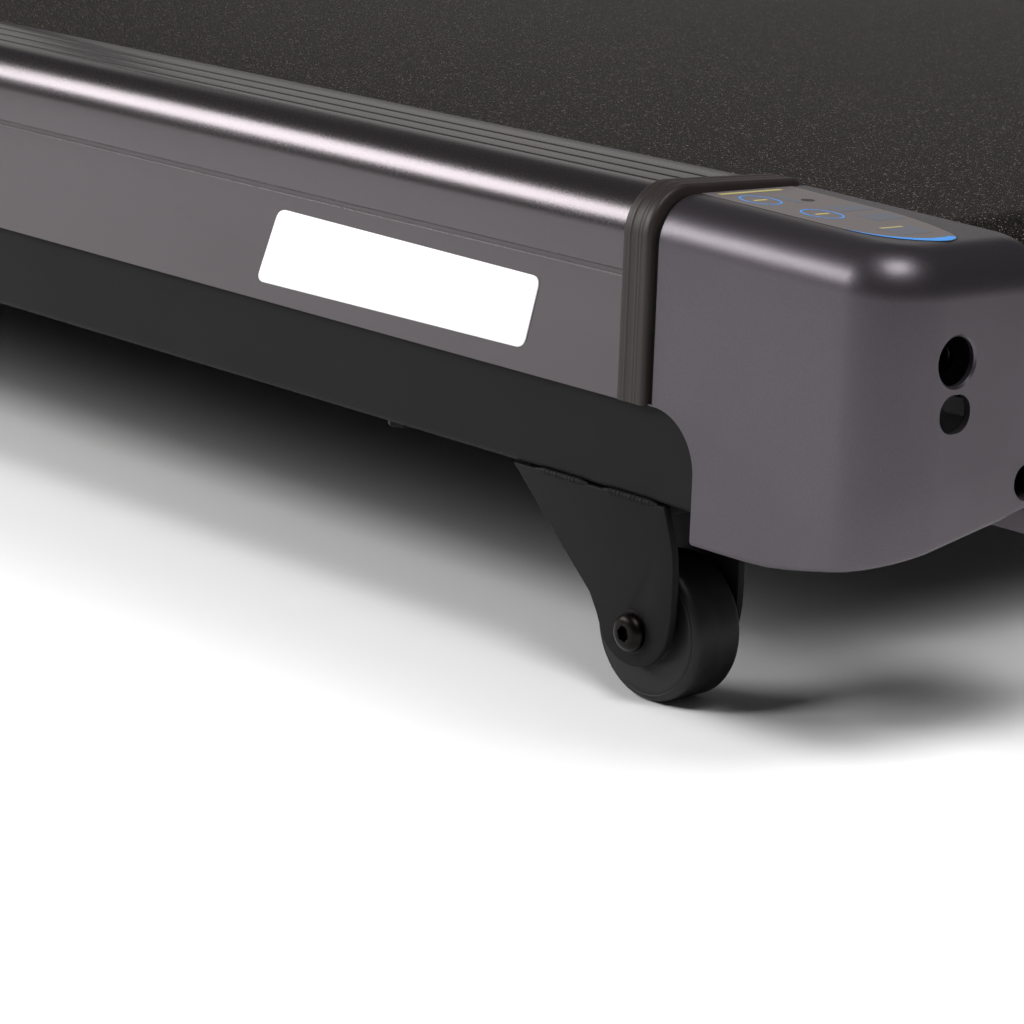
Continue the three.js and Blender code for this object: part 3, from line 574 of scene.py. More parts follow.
def rail_profile():
    p = [(-HW + 1.2, 123.8), (-HW + 0.3, 124.1), (-HW, 124.9)]
    zg = 174.6
    p += [(-HW, zg - 1.35), (-HW + 1.6, zg - 1.3), (-HW + 1.65, zg + 1.15), (-HW + 0.45, zg + 1.2), (-HW + 0.10, zg + 1.5), (-HW, zg + 2.3)]
    p += arc(-HW + RR, RT - RR, RR, 180, 92, 26)
    for xg in (-318.0, -299.0, -280.0):
        for dx, dz in ((-2.3, 0), (-1.9, 0.10), (-1.5, 0.38), (-1.0, 0.52), (-0.5, 0.30), (0, -0.55), (0.7, -0.95), (1.5, -0.80), (2.2, -0.2), (2.7, 0)):
            p.append((xg + dx, top_z(xg + dx) + dz))
    p += [(-RI - 2.2, top_z(-RI - 2.2)), (-RI - 1.2, top_z(-RI) - 0.05), (-RI - 0.3, top_z(-RI) - 0.5), (-RI, top_z(-RI) - 1.3)]
    p += [(-RI, 200.5), (-RI - 0.3, 200.2), (-RI - 3, 200.2), (-270, top_z(-270) - 3)]
    p += [(-HW + RR, RT - 3.2)] + arc(-HW + RR, RT - RR, RR - 2.6, 100, 180, 10)
    p += [(-HW + 2.6, 124.4), (-HW + 2.2, 123.8)]
    return p


rail_me = prism(rail_profile(), YW + 9.8, 428.0, "Y")
pair("rail_extrusion", rail_me, "rail", "deck", ("side_rail_left", "side_rail_right"), angle=28)

# ------------------------------------------------------------------ rubber trim bands
BY0, BY1 = YW - 6.2, YW + 9.5


def band_z(x):
    return RT - 2.65 * (x + HW - RR) / 60.5


def band_ring(y, o, i=3.0):
    R = RR
    outer = [(-HW - o + 0.25, 124.4), (-HW - o, 125.2)] + arc(-HW + R, RT - R, R + o, 180, 93, 22)
    outer += [(x, band_z(x) + o) for x in (-300, -280, -266, -263.2)]
    outer += [(-261.9, band_z(-262) + o - 0.45), (-260.8, band_z(-261) + o - 1.35), (-260.2, band_z(-260) + o - 2.6), (-260.0, top_z(-260) + 0.6)]
    inner = [(-260.2, top_z(-260) - 1.5), (-270, top_z(-270) - i), (-300, top_z(-300) - i)] + arc(-HW + R, RT - R, R - i, 95, 180, 18) + [(-HW + i, 124.4)]
    return [(x, y, z) for x, z in outer + inner]


stations = []
L = BY1 - BY0
for k in range(49):
    t = k / 48
    y = BY0 + L * t
    edge = min(t, 1 - t) * L
    o = 1.95 * (1 - math.exp(-edge / 0.55)) + 0.1
    o -= 0.35 * math.exp(-((t - 0.50) * L / 2.6) ** 2 * 0.35)        # shallow hollow along the middle
    for c in (0.30, 0.42, 0.70):                                     # fine raised lines
        o += 0.22 * math.exp(-(((t - c) * L) / 0.42) ** 2)
    stations.append(band_ring(y, o))
pair("trim_band", loft(stations), "band", "deck", ("rail_trim_left", "rail_trim_right"), angle=40)
lip = prism([(-276, 199.0), (-276, top_z(-276) - 0.4), (-254.0, top_z(-254) - 0.4), (-252.9, top_z(-253) - 1.0), (-252.4, 201.4), (-252.6, 200.4), (-255, 200.2), (-262, 199.0)], YW - 6.4, YW + 9.9, "Y")
pair("rail_inner_lip", lip, "rail", "deck", None, angle=30)

# ------------------------------------------------------------------ end caps
CR, CTR = 28.0, 19.0
CY1 = YW - 6.6
CIN, CFOOT = 254.0, 214.0


def smooth_pos(v, w=8.0):
    return 0.5 * (v + math.sqrt(v * v + w * w)) - 0.5 * w * 0.0


def cap_bottom(x, y):
    return 73 + 0.2 * max(0.0, smooth_pos((YW - 78) - y, 10) - 1.2) + 0.185 * (x + HW)


def cap_top(x, y):
    across = max(0.0, x + HW - CTR) / 66
    return RT - 1.6 - 1.7 * across - 0.025 * max(0.0, YW - 10 - y)


def plan_ring(inset, y_front, xin, nc=30):
    r = max(CR - inset, 4.0)
    x0, y0, x1 = -HW + 0.6 + inset, REAR + inset, xin
    p = [(x0, y_front)]
    for k in range(1, 9):
        p.append((x0, y_front + (y0 + r - y_front) * k / 9))
    p += arc(x0 + r, y0 + r, r, 180, 270, nc)
    for k in range(1, 5):
        p.append((x0 + r + (x1 - 9 - x0 - r) * k / 5, y0))
    p += arc(x1 - 9, y0 + 9, 9, 270, 360, 8)
    p += [(x1, y0 + 9 + (y_front - y0 - 9) * k / 6) for k in range(1, 7)]
    return p


def cap_solid(inset, y_front, xin, d_top, d_bot, nt=16):
    rings = []
    steps = [(2.2, 0.0, 0), (1.5, 0.15, 0), (0.7, 0.6, 0), (0.2, 1.4, 0), (0.0, 2.4, 0), (0, 0, 0.25), (0, 0, 0.5), (0, 0, 0.75)]
    for k in range(nt + 1):
        a = math.pi / 2 * k / nt
        steps.append((CTR * (1 - math.cos(a)), -CTR * (1 - math.sin(a)), 1))
    for ins, dz, t in steps:
        ring = []
        for x, y in plan_ring(inset + ins, y_front, xin - (ins * 0.35 if t == 1 else ins * 0.5)):
            zb, zt = cap_bottom(x, y) + d_bot, cap_top(x, y) - d_top
            if t == 0:
                z = zb + dz
            elif t == 1:
                z = zt + dz
            else:
                z = (zb + 2.4) + (zt - CTR - zb - 2.4) * t
            ring.append((x, y, z))
        rings.append(ring)
    # close the top with the true sloping surface: shrink the last ring towards its middle
    last = rings[-1]
    cx = sum(p[0] for p in last) / len(last)
    cy = sum(p[1] for p in last) / len(last)
    for s in (0.8, 0.55, 0.3, 0.1):
        ring = []
        for x, y, z in last:
            nx, ny = cx + (x - cx) * s, cy + (y - cy) * s
            ring.append((nx, ny, cap_top(nx, ny) - d_top))
        rings.append(ring)
    return loft(rings)


outer = cap_solid(0, CY1, -CIN, 0, 0)
foot_pts = [(-CIN - 6, 89.5), (-CFOOT - 12, 107)] + arc(-CFOOT - 7.5, 114.5, 7.5, -60, 90, 8) + [(-CFOOT - 14, 122.5), (-CIN + 14, 127)] + [(-CIN + 9, 128.6), (-CIN + 5, 131), (-CIN + 1.6, 135), (-CIN, 140), (-CIN - 6, 144)]
foot = prism(foot_pts, REAR + 0.4, REAR + 62, "Y")
shell = boolean(outer, [foot], "UNION")
inner = cap_solid(3, CY1 + 6, -CIN - 2.6, 3, 3, 8)
foot_cut = prism([(-CIN - 4, 97), (-CFOOT - 12, 111), (-CFOOT - 6, 115), (-CFOOT - 12, 119), (-CIN + 12, 123.5), (-CIN - 4, 136)], REAR + 4.2, REAR + 63, "Y")
NY = YW - 34
notch = prism([(NY + 1.2, 60), (CY1 + 2, 60), (CY1 + 2, 124.6)] + arc(NY + 24, 100.6, 24, 90, 180, 24) + [(NY, 75.0), (NY - 0.25, 74.2), (NY - 0.9, 73.5), (NY - 2.2, 73.0), (NY - 5.0, 60)], -HW - 10, -194, "X")


def chamfered_hole(x, z, r, ch=0.9):
    return lathe([(0, REAR - 6), (r + ch + 6, REAR - 6), (r + ch, REAR - 0.01), (r, REAR + ch), (r, REAR + 24), (0, REAR + 24)], (x, 0, z), "Y", 56)


hole_up = chamfered_hole(-305, 162, 9.6)
slot_c = prism(rrect(-313, -296.5, 134.5, 149.5, 7.0, 10), REAR - 5, REAR + 20, "Y")
hole_in = chamfered_hole(-261.5, 110.5, 6.6)
shaft = lathe([(0, -CIN - 6), (9, -CIN - 6), (9, -CIN + 6), (0, -CIN + 6)], (0, YW - 62, 172.5), "X", 32)

GAP = 2.6


def cap_section(y, inset):
    """the cap's outline across the machine at one y, pulled in by inset"""
    x0, R = -HW + 0.6, CTR
    zt = lambda x: cap_top(x, y)
    pts = [(x0 + inset, 125.2)] + arc(x0 + R, zt(x0 + R) - R, R - inset, 180, 90, 16)
    pts += [(x, zt(x) - inset) for x in (-300, -285, -270, -260, -CIN - 1.5)]
    return pts


sec = cap_section(CY1, 1.7)
ring_cut = prism([(-HW - 8, 125.2), (-HW - 8, 222), (-CIN + 6, 222), (-CIN + 6, 180), (-CIN - 1.5, 180)] + sec[::-1], CY1 - GAP, CY1 + 3, "Y")
shell = boolean(shell, [inner, foot_cut, notch, hole_up, slot_c, hole_in, shaft, ring_cut], "DIFFERENCE")
# a near-black strip set into the gap between trim band and cap: painted shade for the dark recess there, not a real
# part
so_, si_ = cap_section(CY1, 1.25), cap_section(CY1, 2.2)
gap_shade_strip = prism(so_ + si_[::-1], CY1 - GAP + 0.05, CY1 - 0.05, "Y")
pair("cap_gap_liner", gap_shade_strip, "gasket", "deck", None, 34)
pair("cap_shell", shell, "cap", "deck", ("end_cap_left", "end_cap_right"), angle=34)


# label inlay on the cap top: dark edge, grey film, blue rim, plain ovals and bars
def on_cap(pts, lift, name, mat, thick=0.12):
    """a thin film that follows the cap's top; pts as (x, y - YW)"""
    bm = bmesh.new()
    vs = [bm.verts.new((x * MM, (YW + y) * MM, 0)) for x, y in pts]
    f = bm.faces.new(vs)
    bmesh.ops.triangulate(bm, faces=[f])
    bmesh.ops.subdivide_edges(bm, edges=[e for e in bm.edges if e.calc_length() > 0.012], cuts=3, use_grid_fill=False)
    bmesh.ops.triangulate(bm, faces=bm.faces)
    top = list(bm.faces)
    ext = bmesh.ops.extrude_face_region(bm, geom=top)
    upv = [g for g in ext["geom"] if isinstance(g, bmesh.types.BMVert)]
    for v in bm.verts:
        v.co.z = (cap_top(v.co.x / MM, v.co.y / MM) + lift - thick) * MM
    for v in upv:
        v.co.z += thick * MM
    bmesh.ops.recalc_face_normals(bm, faces=bm.faces)
    pair(name, to_mesh(bm), mat, "deck", None, 30)


def offset_pts(pts, d):
    c = Vector((sum(p[0] for p in pts) / len(pts), sum(p[1] for p in pts) / len(pts)))
    out = []
    n = len(pts)
    for i in range(n):
        p, q, r = Vector(pts[i - 1]), Vector(pts[i]), Vector(pts[(i + 1) % n])
        t = (r - p).normalized()
        nn = Vector((t.y, -t.x))
        if nn.dot(q - c) < 0:
            nn = -nn
        out.append(tuple(q + nn * d))
    return out


def bez(p0, p1, p2, n=8):
    return [tuple((1 - t) ** 2 * np.array(p0) + 2 * t * (1 - t) * np.array(p1) + t * t * np.array(p2)) for t in [i / n for i in range(1, n + 1)]]


lab = [(-318.5, -9.6), (-318.3, -50), (-318.1, -88.1)] + bez((-318.1, -88.1), (-317.6, -105.4), (-307.8, -113.7), 7) + bez((-307.8, -113.7), (-301.0, -119.4), (-295.9, -119.6), 6)
lab += bez((-295.9, -119.6), (-288.0, -119.6), (-283.0, -110.5), 7) + bez((-283.0, -110.5), (-274.6, -92.0), (-271.0, -68.3), 7) + [(-270.0, -44.0), (-268.6, -9.6)]
on_cap(offset_pts(lab, 0.7), 0.06, "label_edge", "label_edge")
on_cap(lab, 0.14, "label_film", "label")
RW = [0.0, 0.6, 1.1, 1.6, 2.2, 2.7, 3.2, 3.7, 4.1, 4.5, 4.9, 5.2, 5.5, 5.6, 5.6, 5.2, 4.6, 3.8, 2.8]
rim_out = lab[2:2 + len(RW)]
near = offset_pts(lab, -1.0)[2:2 + len(RW)]
rim_in = [(o_[0] + (n_[0] - o_[0]) * w_, o_[1] + (n_[1] - o_[1]) * w_) for o_, n_, w_ in zip(rim_out, near, RW)]
on_cap(rim_out + rim_in[1:][::-1], 0.22, "label_rim", "label_blue")


def oval_ring(cx, cy, a, bb, w, rot, name, mat):
    o = [(cx + a * math.cos(t) * math.cos(rot) - bb * math.sin(t) * math.sin(rot), cy + a * math.cos(t) * math.sin(rot) + bb * math.sin(t) * math.cos(rot)) for t in [2 * math.pi * i / 28 for i in range(28)]]
    i_ = [(cx + (a - w) * math.cos(t) * math.cos(rot) - (bb - w) * math.sin(t) * math.sin(rot), cy + (a - w) * math.cos(t) * math.sin(rot) + (bb - w) * math.sin(t) * math.cos(rot)) for t in [2 * math.pi * i / 28 for i in range(28)]]
    bm = bmesh.new()
    vo = [bm.verts.new((x * MM, (YW + y) * MM, 0)) for x, y in o]
    vi = [bm.verts.new((x * MM, (YW + y) * MM, 0)) for x, y in i_]
    for k in range(28):
        bm.faces.new((vo[k], vo[(k + 1) % 28], vi[(k + 1) % 28], vi[k]))
    ext = bmesh.ops.extrude_face_region(bm, geom=list(bm.faces))
    upv = [g for g in ext["geom"] if isinstance(g, bmesh.types.BMVert)]
    for v in bm.verts:
        v.co.z = (cap_top(v.co.x / MM, v.co.y / MM) + 0.11) * MM
    for v in upv:
        v.co.z += 0.10 * MM
    bmesh.ops.recalc_face_normals(bm, faces=bm.faces)
    pair(name, to_mesh(bm), mat, "deck", None, 30)


for i, (cx, cy) in enumerate(((-305.6, -29.6), (-303.0, -60.8))):
    oval_ring(cx, cy, 7.6, 9.6, 0.8, 0.0, f"label_oval_{i}", "label_blue")
    on_cap([(cx - 3.6, cy - 0.9), (cx + 3.6, cy - 0.9), (cx + 3.6, cy + 0.9), (cx - 3.6, cy + 0.9)], 0.21, f"label_bar_{i}", "label_pale", 0.1)
on_cap([(-313, -15.4), (-279, -15.4), (-279, -13.0), (-313, -13.0)], 0.21, "label_bar_top", "label_pale", 0.1)
on_cap([(-303, -92.5), (-291, -92.5), (-291, -90.9), (-303, -90.9)], 0.21, "label_bar_low", "label_pale", 0.1)
on_cap([(-286.0 + 3.0 * math.cos(t), -36 + 2.6 * math.sin(t)) for t in [2 * math.pi * i / 14 for i in range(14)]], 0.21, "label_dot", "label_edge", 0.1)
for i, (y0, y1, x0, x1) in enumerate(((-26, -39, -295, -290), (-50, -60, -292, -272.5), (-68, -79, -292, -275), (-92, -105, -305, -287))):
    on_cap([(x0, y0), (x1, y0), (x1 - 1.0, y1), (x0, y1)], 0.19, f"label_patch_{i}", "label_patch", 0.1)

# ------------------------------------------------------------------ blank rail badge (slanted, rounded, slightly raised)
def rounded_poly(c, r, n=6):
    out = []
    m = len(c)
    for i in range(m):
        p, q, s = Vector(c[i - 1]), Vector(c[i]), Vector(c[(i + 1) % m])
        a, d = (p - q).normalized(), (s - q).normalized()
        p0, p2 = q + a * r, q + d * r
        out += [tuple(p0)] + bez(tuple(p0), tuple(q), tuple(p2), n)
    return out


bc = [(YW + 58.3, 165.0), (YW + 230.6, 166.6), (YW + 245.8, 132.4), (YW + 67.1, 134.2)]
badge = bevel(prism(rounded_poly(bc, 5.0), -340.55, -339.9, "X"), 0.15, 2, 50)
pair("rail_badge", badge, "badge", "deck", None, 40)

# ------------------------------------------------------------------ running belt
def stadium(r, yr, yf, z, n=40):
    return arc(yf, z, r, -90, 90, n) + arc(yr, z, r, 90, 270, n)


RZ, YR, YF = 172.5, YW - 62, 470.0
rings = []
for x, so, si in ((-250, 25.4, 24.4), (-249.6, 25.8, 24.0), (-249, 26.0, 23.8), (249, 26.0, 23.8), (249.6, 25.8, 24.0), (250, 25.4, 24.4)):
    rings.append((x, stadium(so, YR, YF, RZ), stadium(si, YR, YF, RZ)))
v, f = [], []
n = len(rings[0][1])
for x, o_, i_ in rings:
    v += [(x, p[0], p[1]) for p in o_] + [(x, p[0], p[1]) for p in i_]
K = len(rings)
for k in range(K - 1):
    for i in range(n):
        j = (i + 1) % n
        a, c = k * 2 * n, (k + 1) * 2 * n
        f.append((a + i, a + j, c + j, c + i))
        f.append((a + n + j, a + n + i, c + n + i, c + n + j))
for k in (0, K - 1):
    a = k * 2 * n
    for i in range(n):
        j = (i + 1) % n
        f.append((a + i, a + j, a + n + j, a + n + i))
finish_mesh("belt_loop", to_mesh(bm_from(v, f)), "belt", "deck", 40, "running_belt")

# ------------------------------------------------------------------ rear forks with weld beads
def fork_outline():
    return [(YW + 76, 84.6), (YW - 15, 84.6), (YW - 17.6, 78), (YW - 19.8, 72), (YW - 21.3, 66), (YW - 22, 60), (YW - 22.1, 50), (YW - 21.8, 40)] + arc(YW + 0.8, 37.6, 21.9, 190, 318, 22) + [(YW + 22, 33.5), (YW + 26.4, 40.5)]


def fork_plate(x0, x1):
    me = prism(fork_outline(), x0, x1, "X")
    hole = lathe([(0, x0 - 2), (5.0, x0 - 2), (5.0, x1 + 2), (0, x1 + 2)], (0, YW, 30), "X", 32)
    return bevel(boolean(me, [hole]), 0.55, 3, 45)


strap = bevel(prism([(YW - 15, 80.6), (YW + 70, 80.6), (YW + 70, 84.6), (YW - 15, 84.6)], -332.6, -299.4, "X"), 0.5, 2, 45)
pair("fork_plates", merge(fork_plate(-336, -332.4), fork_plate(-299.6, -296), strap), "powder", "deck", ("wheel_bracket_left", "wheel_bracket_right"), angle=35)

rng = np.random.default_rng(7)


def bead(p0, p1, r, name, step=2.2):
    """a welded seam: overlapping ripples under the coat"""
    p0, p1 = np.array(p0, float), np.array(p1, float)
    Ln = np.linalg.norm(p1 - p0)
    m = max(8, int(Ln / 0.55))
    pts = [p0 + (p1 - p0) * i / m for i in range(m + 1)]
    wob = rng.normal(0, 0.10, m + 1)
    phase = rng.uniform(0, 1)

    def sec(t):
        i = int(round(t * m))
        s = ((t * Ln / step + phase) % 1.0)
        rr = r * (0.80 + 0.28 * math.sin(math.pi * s)) + wob[i] * 0.6
        rr *= min(1.0, 0.35 + 4 * min(t, 1 - t))
        return circle(max(rr, 0.3), 12)

    return tube(pts, sec, (0, 0, 1))


wb = merge(bead((-335.5, YW + 62, 84.7), (-335.5, YW + 30, 84.7), 1.35, "a"), bead((-335.5, YW + 21, 84.7), (-335.5, YW - 11, 84.7), 1.35, "b"), bead((-297.2, YW + 62, 84.7), (-297.2, YW - 11, 84.7), 1.3, "c"))
pair("weld_bead", wb, "powder", "deck", None, 50)

# ------------------------------------------------------------------ rear wheels and bolts
W2 = 13.0


def wheel_profile():
    p = [(14.2, -W2 + 1.2), (16.8, -W2 + 0.4), (18.5, -W2 + 0.1), (20.5, -W2)]
    p += [(25.4, -W2), (26.3, -W2 + 0.10), (26.8, -W2 + 0.5), (27.2, -W2 + 0.35)]
    p += [(30 - 3.4 + 3.4 * math.sin(a), -W2 + 0.35 + 3.6 * (1 - math.cos(a))) for a in [math.radians(d) for d in range(10, 91, 10)]]
    p += [(30, -2.0), (29.9, -1.4), (29.82, 0), (29.9, 1.4), (30, 2.0)]
    q = [(r, -l) for r, l in p[:-5]][::-1]
    return p + q


def hub_profile():
    return [(5.3, -W2), (8.4, -W2), (8.9, -W2 + 0.4), (8.9, -W2 + 2.0), (13.2, -W2 + 2.4), (13.8, -W2 + 1.0), (14.1, -W2 + 1.3), (14.1, W2 - 1.3), (13.8, W2 - 1.0), (13.2, W2 - 2.4), (8.9, W2 - 2.0), (8.9, W2 - 0.4), (8.4, W2), (5.3, W2)]


for s, nm in ((-1, "left"), (1, "right")):
    c = (s * 316.0, YW, 30.0)
    finish_mesh(f"wheel_tyre_{nm}", lathe(wheel_profile(), c, "X", 96), "wheel", f"rear_wheel_{nm}", 40, f"rear_wheel_{nm}")
    finish_mesh(f"wheel_hub_{nm}", lathe(hub_profile(), c, "X", 64), "hub", f"rear_wheel_{nm}", 35)


def button_bolt(x_face, y, z, sgn, r=8.0, h=4.8, rs=3.0, depth=2.6, shank=40):
    """button head with a hex socket; the face it sits on is at x_face, the head points to sgn * X"""
    prof = [(0, shank), (4.6, shank), (4.6, 0.0), (r - 0.4, 0.0), (r, -0.3), (r, -1.0)]
    prof += [(rs * 1.35 + (r - rs * 1.35) * math.cos(a), -1.0 - (h - 1.0) * math.sin(a)) for a in [math.radians(d) for d in range(8, 91, 8)]]
    prof += [(rs * 1.25, -h), (0, -h)]
    me = lathe([(rr, l if sgn < 0 else -l) for rr, l in prof], (x_face, y, z), "X", 48)
    hexp = [(y + rs * 1.155 * math.cos(math.radians(60 * k + 12)), z + rs * 1.155 * math.sin(math.radians(60 * k + 12))) for k in range(6)]
    a, bb = (x_face - h - 1, x_face - h + depth) if sgn < 0 else (x_face + h - depth, x_face + h + 1)
    return boolean(me, [prism(hexp, a, bb, "X")])


bolt = merge(button_bolt(-336.2, YW, 30.0, -1))
pair("fork_bolt", bolt, "bolt", "deck", ("wheel_bolt_left", "wheel_bolt_right"), angle=38)
washer = lathe([(5.4, -0.2), (8.6, -0.2), (8.9, -0.05), (8.9, 0.05), (5.4, 0.05)], (-336.1, YW, 30.0), "X", 40)
nut = bevel(prism([(YW + 7.5 * math.cos(math.radians(60 * k)), 30 + 7.5 * math.sin(math.radians(60 * k))) for k in range(6)], -296.0, -289.0, "X"), 0.6, 2, 50)
pair("fork_nut", merge(nut, washer), "bolt", "deck", None, 38)

# tension bolts inside the cap holes
tb = merge(lathe([(0, REAR + 43), (4.8, REAR + 43), (4.8, REAR + 20), (7.4, REAR + 20), (7.8, REAR + 19.6), (7.8, REAR + 11.2), (7.0, REAR + 10.2), (4.4, REAR + 10.2), (4.0, REAR + 10.6), (4.0, REAR + 15), (0, REAR + 15)], (-303, 0, 162), "Y", 40))
pair("tension_bolt_fine", tb, "bolt", "deck", ("tension_bolt_left", "tension_bolt_right"), angle=38)


# ------------------------------------------------------------------ frame tubes and cross members
for n in ("frame_tube_left", "frame_tube_right"):
    refine(n, "powder", 0.0, 2, 34)
for n in ("crossmember_rear", "crossmember_mid", "crossmember_front", "motor_mount"):
    refine(n, "powder", 0.7, 2, 34)
refine("deck_board", "wood", 0.9, 2, 34)

# flange bolts that hold the tubes to the rails, seen from below
fb = []
for y in (-640, -180, 200):
    fb.append(lathe([(0, -0.6), (9.0, -0.6), (9.2, -1.0), (9.2, -2.0), (6.6, -2.3), (6.4, -2.6), (0, -2.6)], (-316, y, 85.4), "Z", 32))
    hexa = [(-316 + 6.3 * math.cos(math.radians(60 * k)), y + 6.3 * math.sin(math.radians(60 * k))) for k in range(6)]
    fb.append(bevel(prism(hexa, 78.6, 83.2, "Z"), 0.5, 2, 50))
pair("frame_bolts", merge(*fb), "bolt", "deck", None, 36)


# ------------------------------------------------------------------ rollers, pulleys, drive
def roller_profile(half, ax, r, crown=0.12):
    p = [(0, -ax), (6.2, -ax), (7, -ax + 0.8), (7, -half - 1.6), (10.5, -half - 1.6), (10.5, -half + 0.6), (r - 4.0, -half + 0.6), (r - 3.4, -half), (r - 0.8, -half), (r - 0.1, -half + 0.7)]
    p += [(r - crown * (abs(x) / half) ** 2, x) for x in np.linspace(-half + 4, half - 4, 9)]
    q = [(a, -l) for a, l in p[:10]][::-1]
    return p + q


finish_mesh("rear_roller_fine", lathe(roller_profile(251, 288, 23.6), (0, YR, RZ), "X", 96), "steel", "rear_roller", 30, "rear_roller")
PX = -274.0
fr = lathe([(0, -292), (6.2, -292), (7, -291), (7, -287), (22, -287), (22.6, -286.4), (38, PX - 9), (39.2, PX - 8.6), (39.2, PX - 7.6), (38, PX - 7.2)] + [(38 - (0.9 if k % 2 else 0), PX - 6.6 + 1.1 * k) for k in range(13)] + [(38, PX + 7.2), (39.2, PX + 7.6), (39.2, PX + 8.6), (38, PX + 9), (22, PX + 9.0), (9, PX + 9.0), (9, -252.6), (19.6, -252.2), (20.2, -251), (22.8, -251), (23.5, -250.3), (23.6, -246), (23.6, 246), (23.5, 250.3), (22.8, 251), (20.2, 251), (19.6, 252.2), (10.5, 252.4), (7, 252.4), (7, 291), (6.2, 292), (0, 292)], (0, YF, RZ), "X", 96)
finish_mesh("front_roller_fine", fr, "steel", "front_roller", 30, "front_roller")
refine("drive_motor", "motor", 0.8, 2, 34)
refine("motor_pulley", "steel", 0.3, 2, 34)
refine("drive_belt", "grip", 0.3, 2, 34)
refine("motor_controller", "sink", 0.5, 2, 34)
mdet = []
for x in (-206.5, 21.5):
    for k in range(4):
        a = math.radians(45 + 90 * k)
        s = -1 if x < 0 else 1
        mdet.append(lathe([(0, 0), (3.6, 0), (3.4, s * 2.6), (0, s * 2.9)], (x, 632 + 36.5 * math.cos(a), 186 + 36.5 * math.sin(a)), "X", 20))
for k in range(12):
    a = math.radians(20 + 12 * k)
    mdet.append(prism([(632 + 46.6 * math.cos(a - 0.012), 186 + 46.6 * math.sin(a - 0.012)), (632 + 48.6 * math.cos(a - 0.01), 186 + 48.6 * math.sin(a - 0.01)), (632 + 48.6 * math.cos(a + 0.01), 186 + 48.6 * math.sin(a + 0.01)), (632 + 46.6 * math.cos(a + 0.012), 186 + 46.6 * math.sin(a + 0.012))], -150, -20, "X"))
finish_mesh("drive_motor_details", merge(*mdet), "motor", "deck", 36)

# ------------------------------------------------------------------ motor hood: vents, recessed screws, edge roll
src = NODES["motor_hood"].data
bmh = bmesh.new()
bmh.from_mesh(src)
bmesh.ops.remove_doubles(bmh, verts=bmh.verts, dist=2e-6)
hood = to_mesh(bmh, "hood_src")
cuts = []
for k in range(9):
    x = -64 + 16 * k
    cuts.append(prism([(x + p[0], 706 + p[1]) for p in rrect(-3.0, 3.0, -24, 24, 2.9, 6)], 200, 300, "Z"))
for s in (-1, 1):
    for y in (452, 640, 748):
        cuts.append(lathe([(0, s * 401.6), (7.2, s * 401.6), (7.8, s * 405), (0, s * 405)], (0, y, 146), "X", 32))
hood = boolean(hood, cuts)
hood = bevel(hood, 1.1, 3, 50)
hood.materials.clear()
finish_mesh("motor_hood_fine", hood, "hood", "deck", 34, "motor_hood", wide=False)
hs = []
for y in (452, 640, 748):
    sc = lathe([(0, -341.0), (5.2, -341.0), (5.2, -341.9), (3.8, -342.7), (0, -342.9)], (0, y, 146), "X", 28)
    cross = [prism([(y - 2.6, 145.5), (y + 2.6, 145.5), (y + 2.6, 146.5), (y - 2.6, 146.5)], -344, -342.1, "X"), prism([(y - 0.5, 143.4), (y + 0.5, 143.4), (y + 0.5, 148.6), (y - 0.5, 148.6)], -344, -342.1, "X")]
    hs.append(boolean(sc, cross))
pair("hood_screws", merge(*hs), "bolt", "deck", None, 36)
# a raised accent line following the hood's crest
ridge = []
for i in range(41):
    t = i / 40
    x = -300 + 600 * t
    yy = 466 + 26 * (1 - (2 * t - 1) ** 2)
    zz = 236 + (yy - 470) * (16 / 50)
    ridge.append((x, yy, zz + 0.1))
finish_mesh("hood_accent", tube(ridge, lambda t: [(1.1 * math.cos(a), 1.5 * math.sin(a) * min(1, 12 * min(t, 1 - t) + 0.2)) for a in [2 * math.pi * i / 10 for i in range(10)]], (0, 0, 1)), "plastic", "deck", 40)

# ------------------------------------------------------------------ lift, hinge, actuators, strut
for n in ("lift_frame", "hinge_carrier"):
    refine(n, "powder", 0.5, 2, 34)
refine("incline_motor", "motor", 0.6, 2, 34)
refine("incline_screw", "screwsteel", 0.3, 2, 34)
refine("fold_cylinder", "powder", 0.5, 2, 34)
refine("fold_rod", "chrome", 0.3, 2, 34)

# ------------------------------------------------------------------ base, feet, transport wheels
for n in ("base_beam_left", "base_beam_right", "base_cross_front", "base_cross_mid", "base_cross_rear"):
    refine(n, "powder", 0.0, 2, 34)
for nm, x, y in (("rear_left", -372, 150), ("rear_right", 372, 150), ("front_left", -372, 820), ("front_right", 372, 820)):
    prof = [(0, 0), (17.6, 0), (18.8, 0.5), (19.6, 1.6), (19.9, 3.0), (19.6, 4.4), (18.6, 5.6), (17.6, 6.4)]
    for k in range(5):
        z = 7.0 + 2.2 * k
        prof += [(17.4, z), (16.8, z + 0.5), (16.8, z + 1.1), (17.4, z + 1.6)]
    prof += [(16.9, 19.2), (16.2, 21.2), (15.6, 21.7), (0, 21.7)]
    finish_mesh(f"foot_{nm}_fine", lathe(prof, (x, y, 0), "Z", 64), "wheel", BODY_OF[f"foot_{nm}"], 32, f"foot_{nm}")
TW = [(4, -17), (7.4, -17), (8, -16.4), (8, -11.6), (15.4, -11.2), (16.2, -10.2), (17.0, -11), (19.4, -11), (21.0, -10.4), (22, -8.6), (22, 8.6), (21.0, 10.4), (19.4, 11), (17.0, 11), (16.2, 10.2), (15.4, 11.2), (8, 11.6), (8, 16.4), (7.4, 17), (4, 17)]
for nm, s in (("left", -1), ("right", 1)):
    finish_mesh(f"transport_wheel_{nm}_fine", lathe(TW, (s * 372, 905, 29), "X", 72), "wheel", f"transport_wheel_{nm}", 34, f"transport_wheel_{nm}")
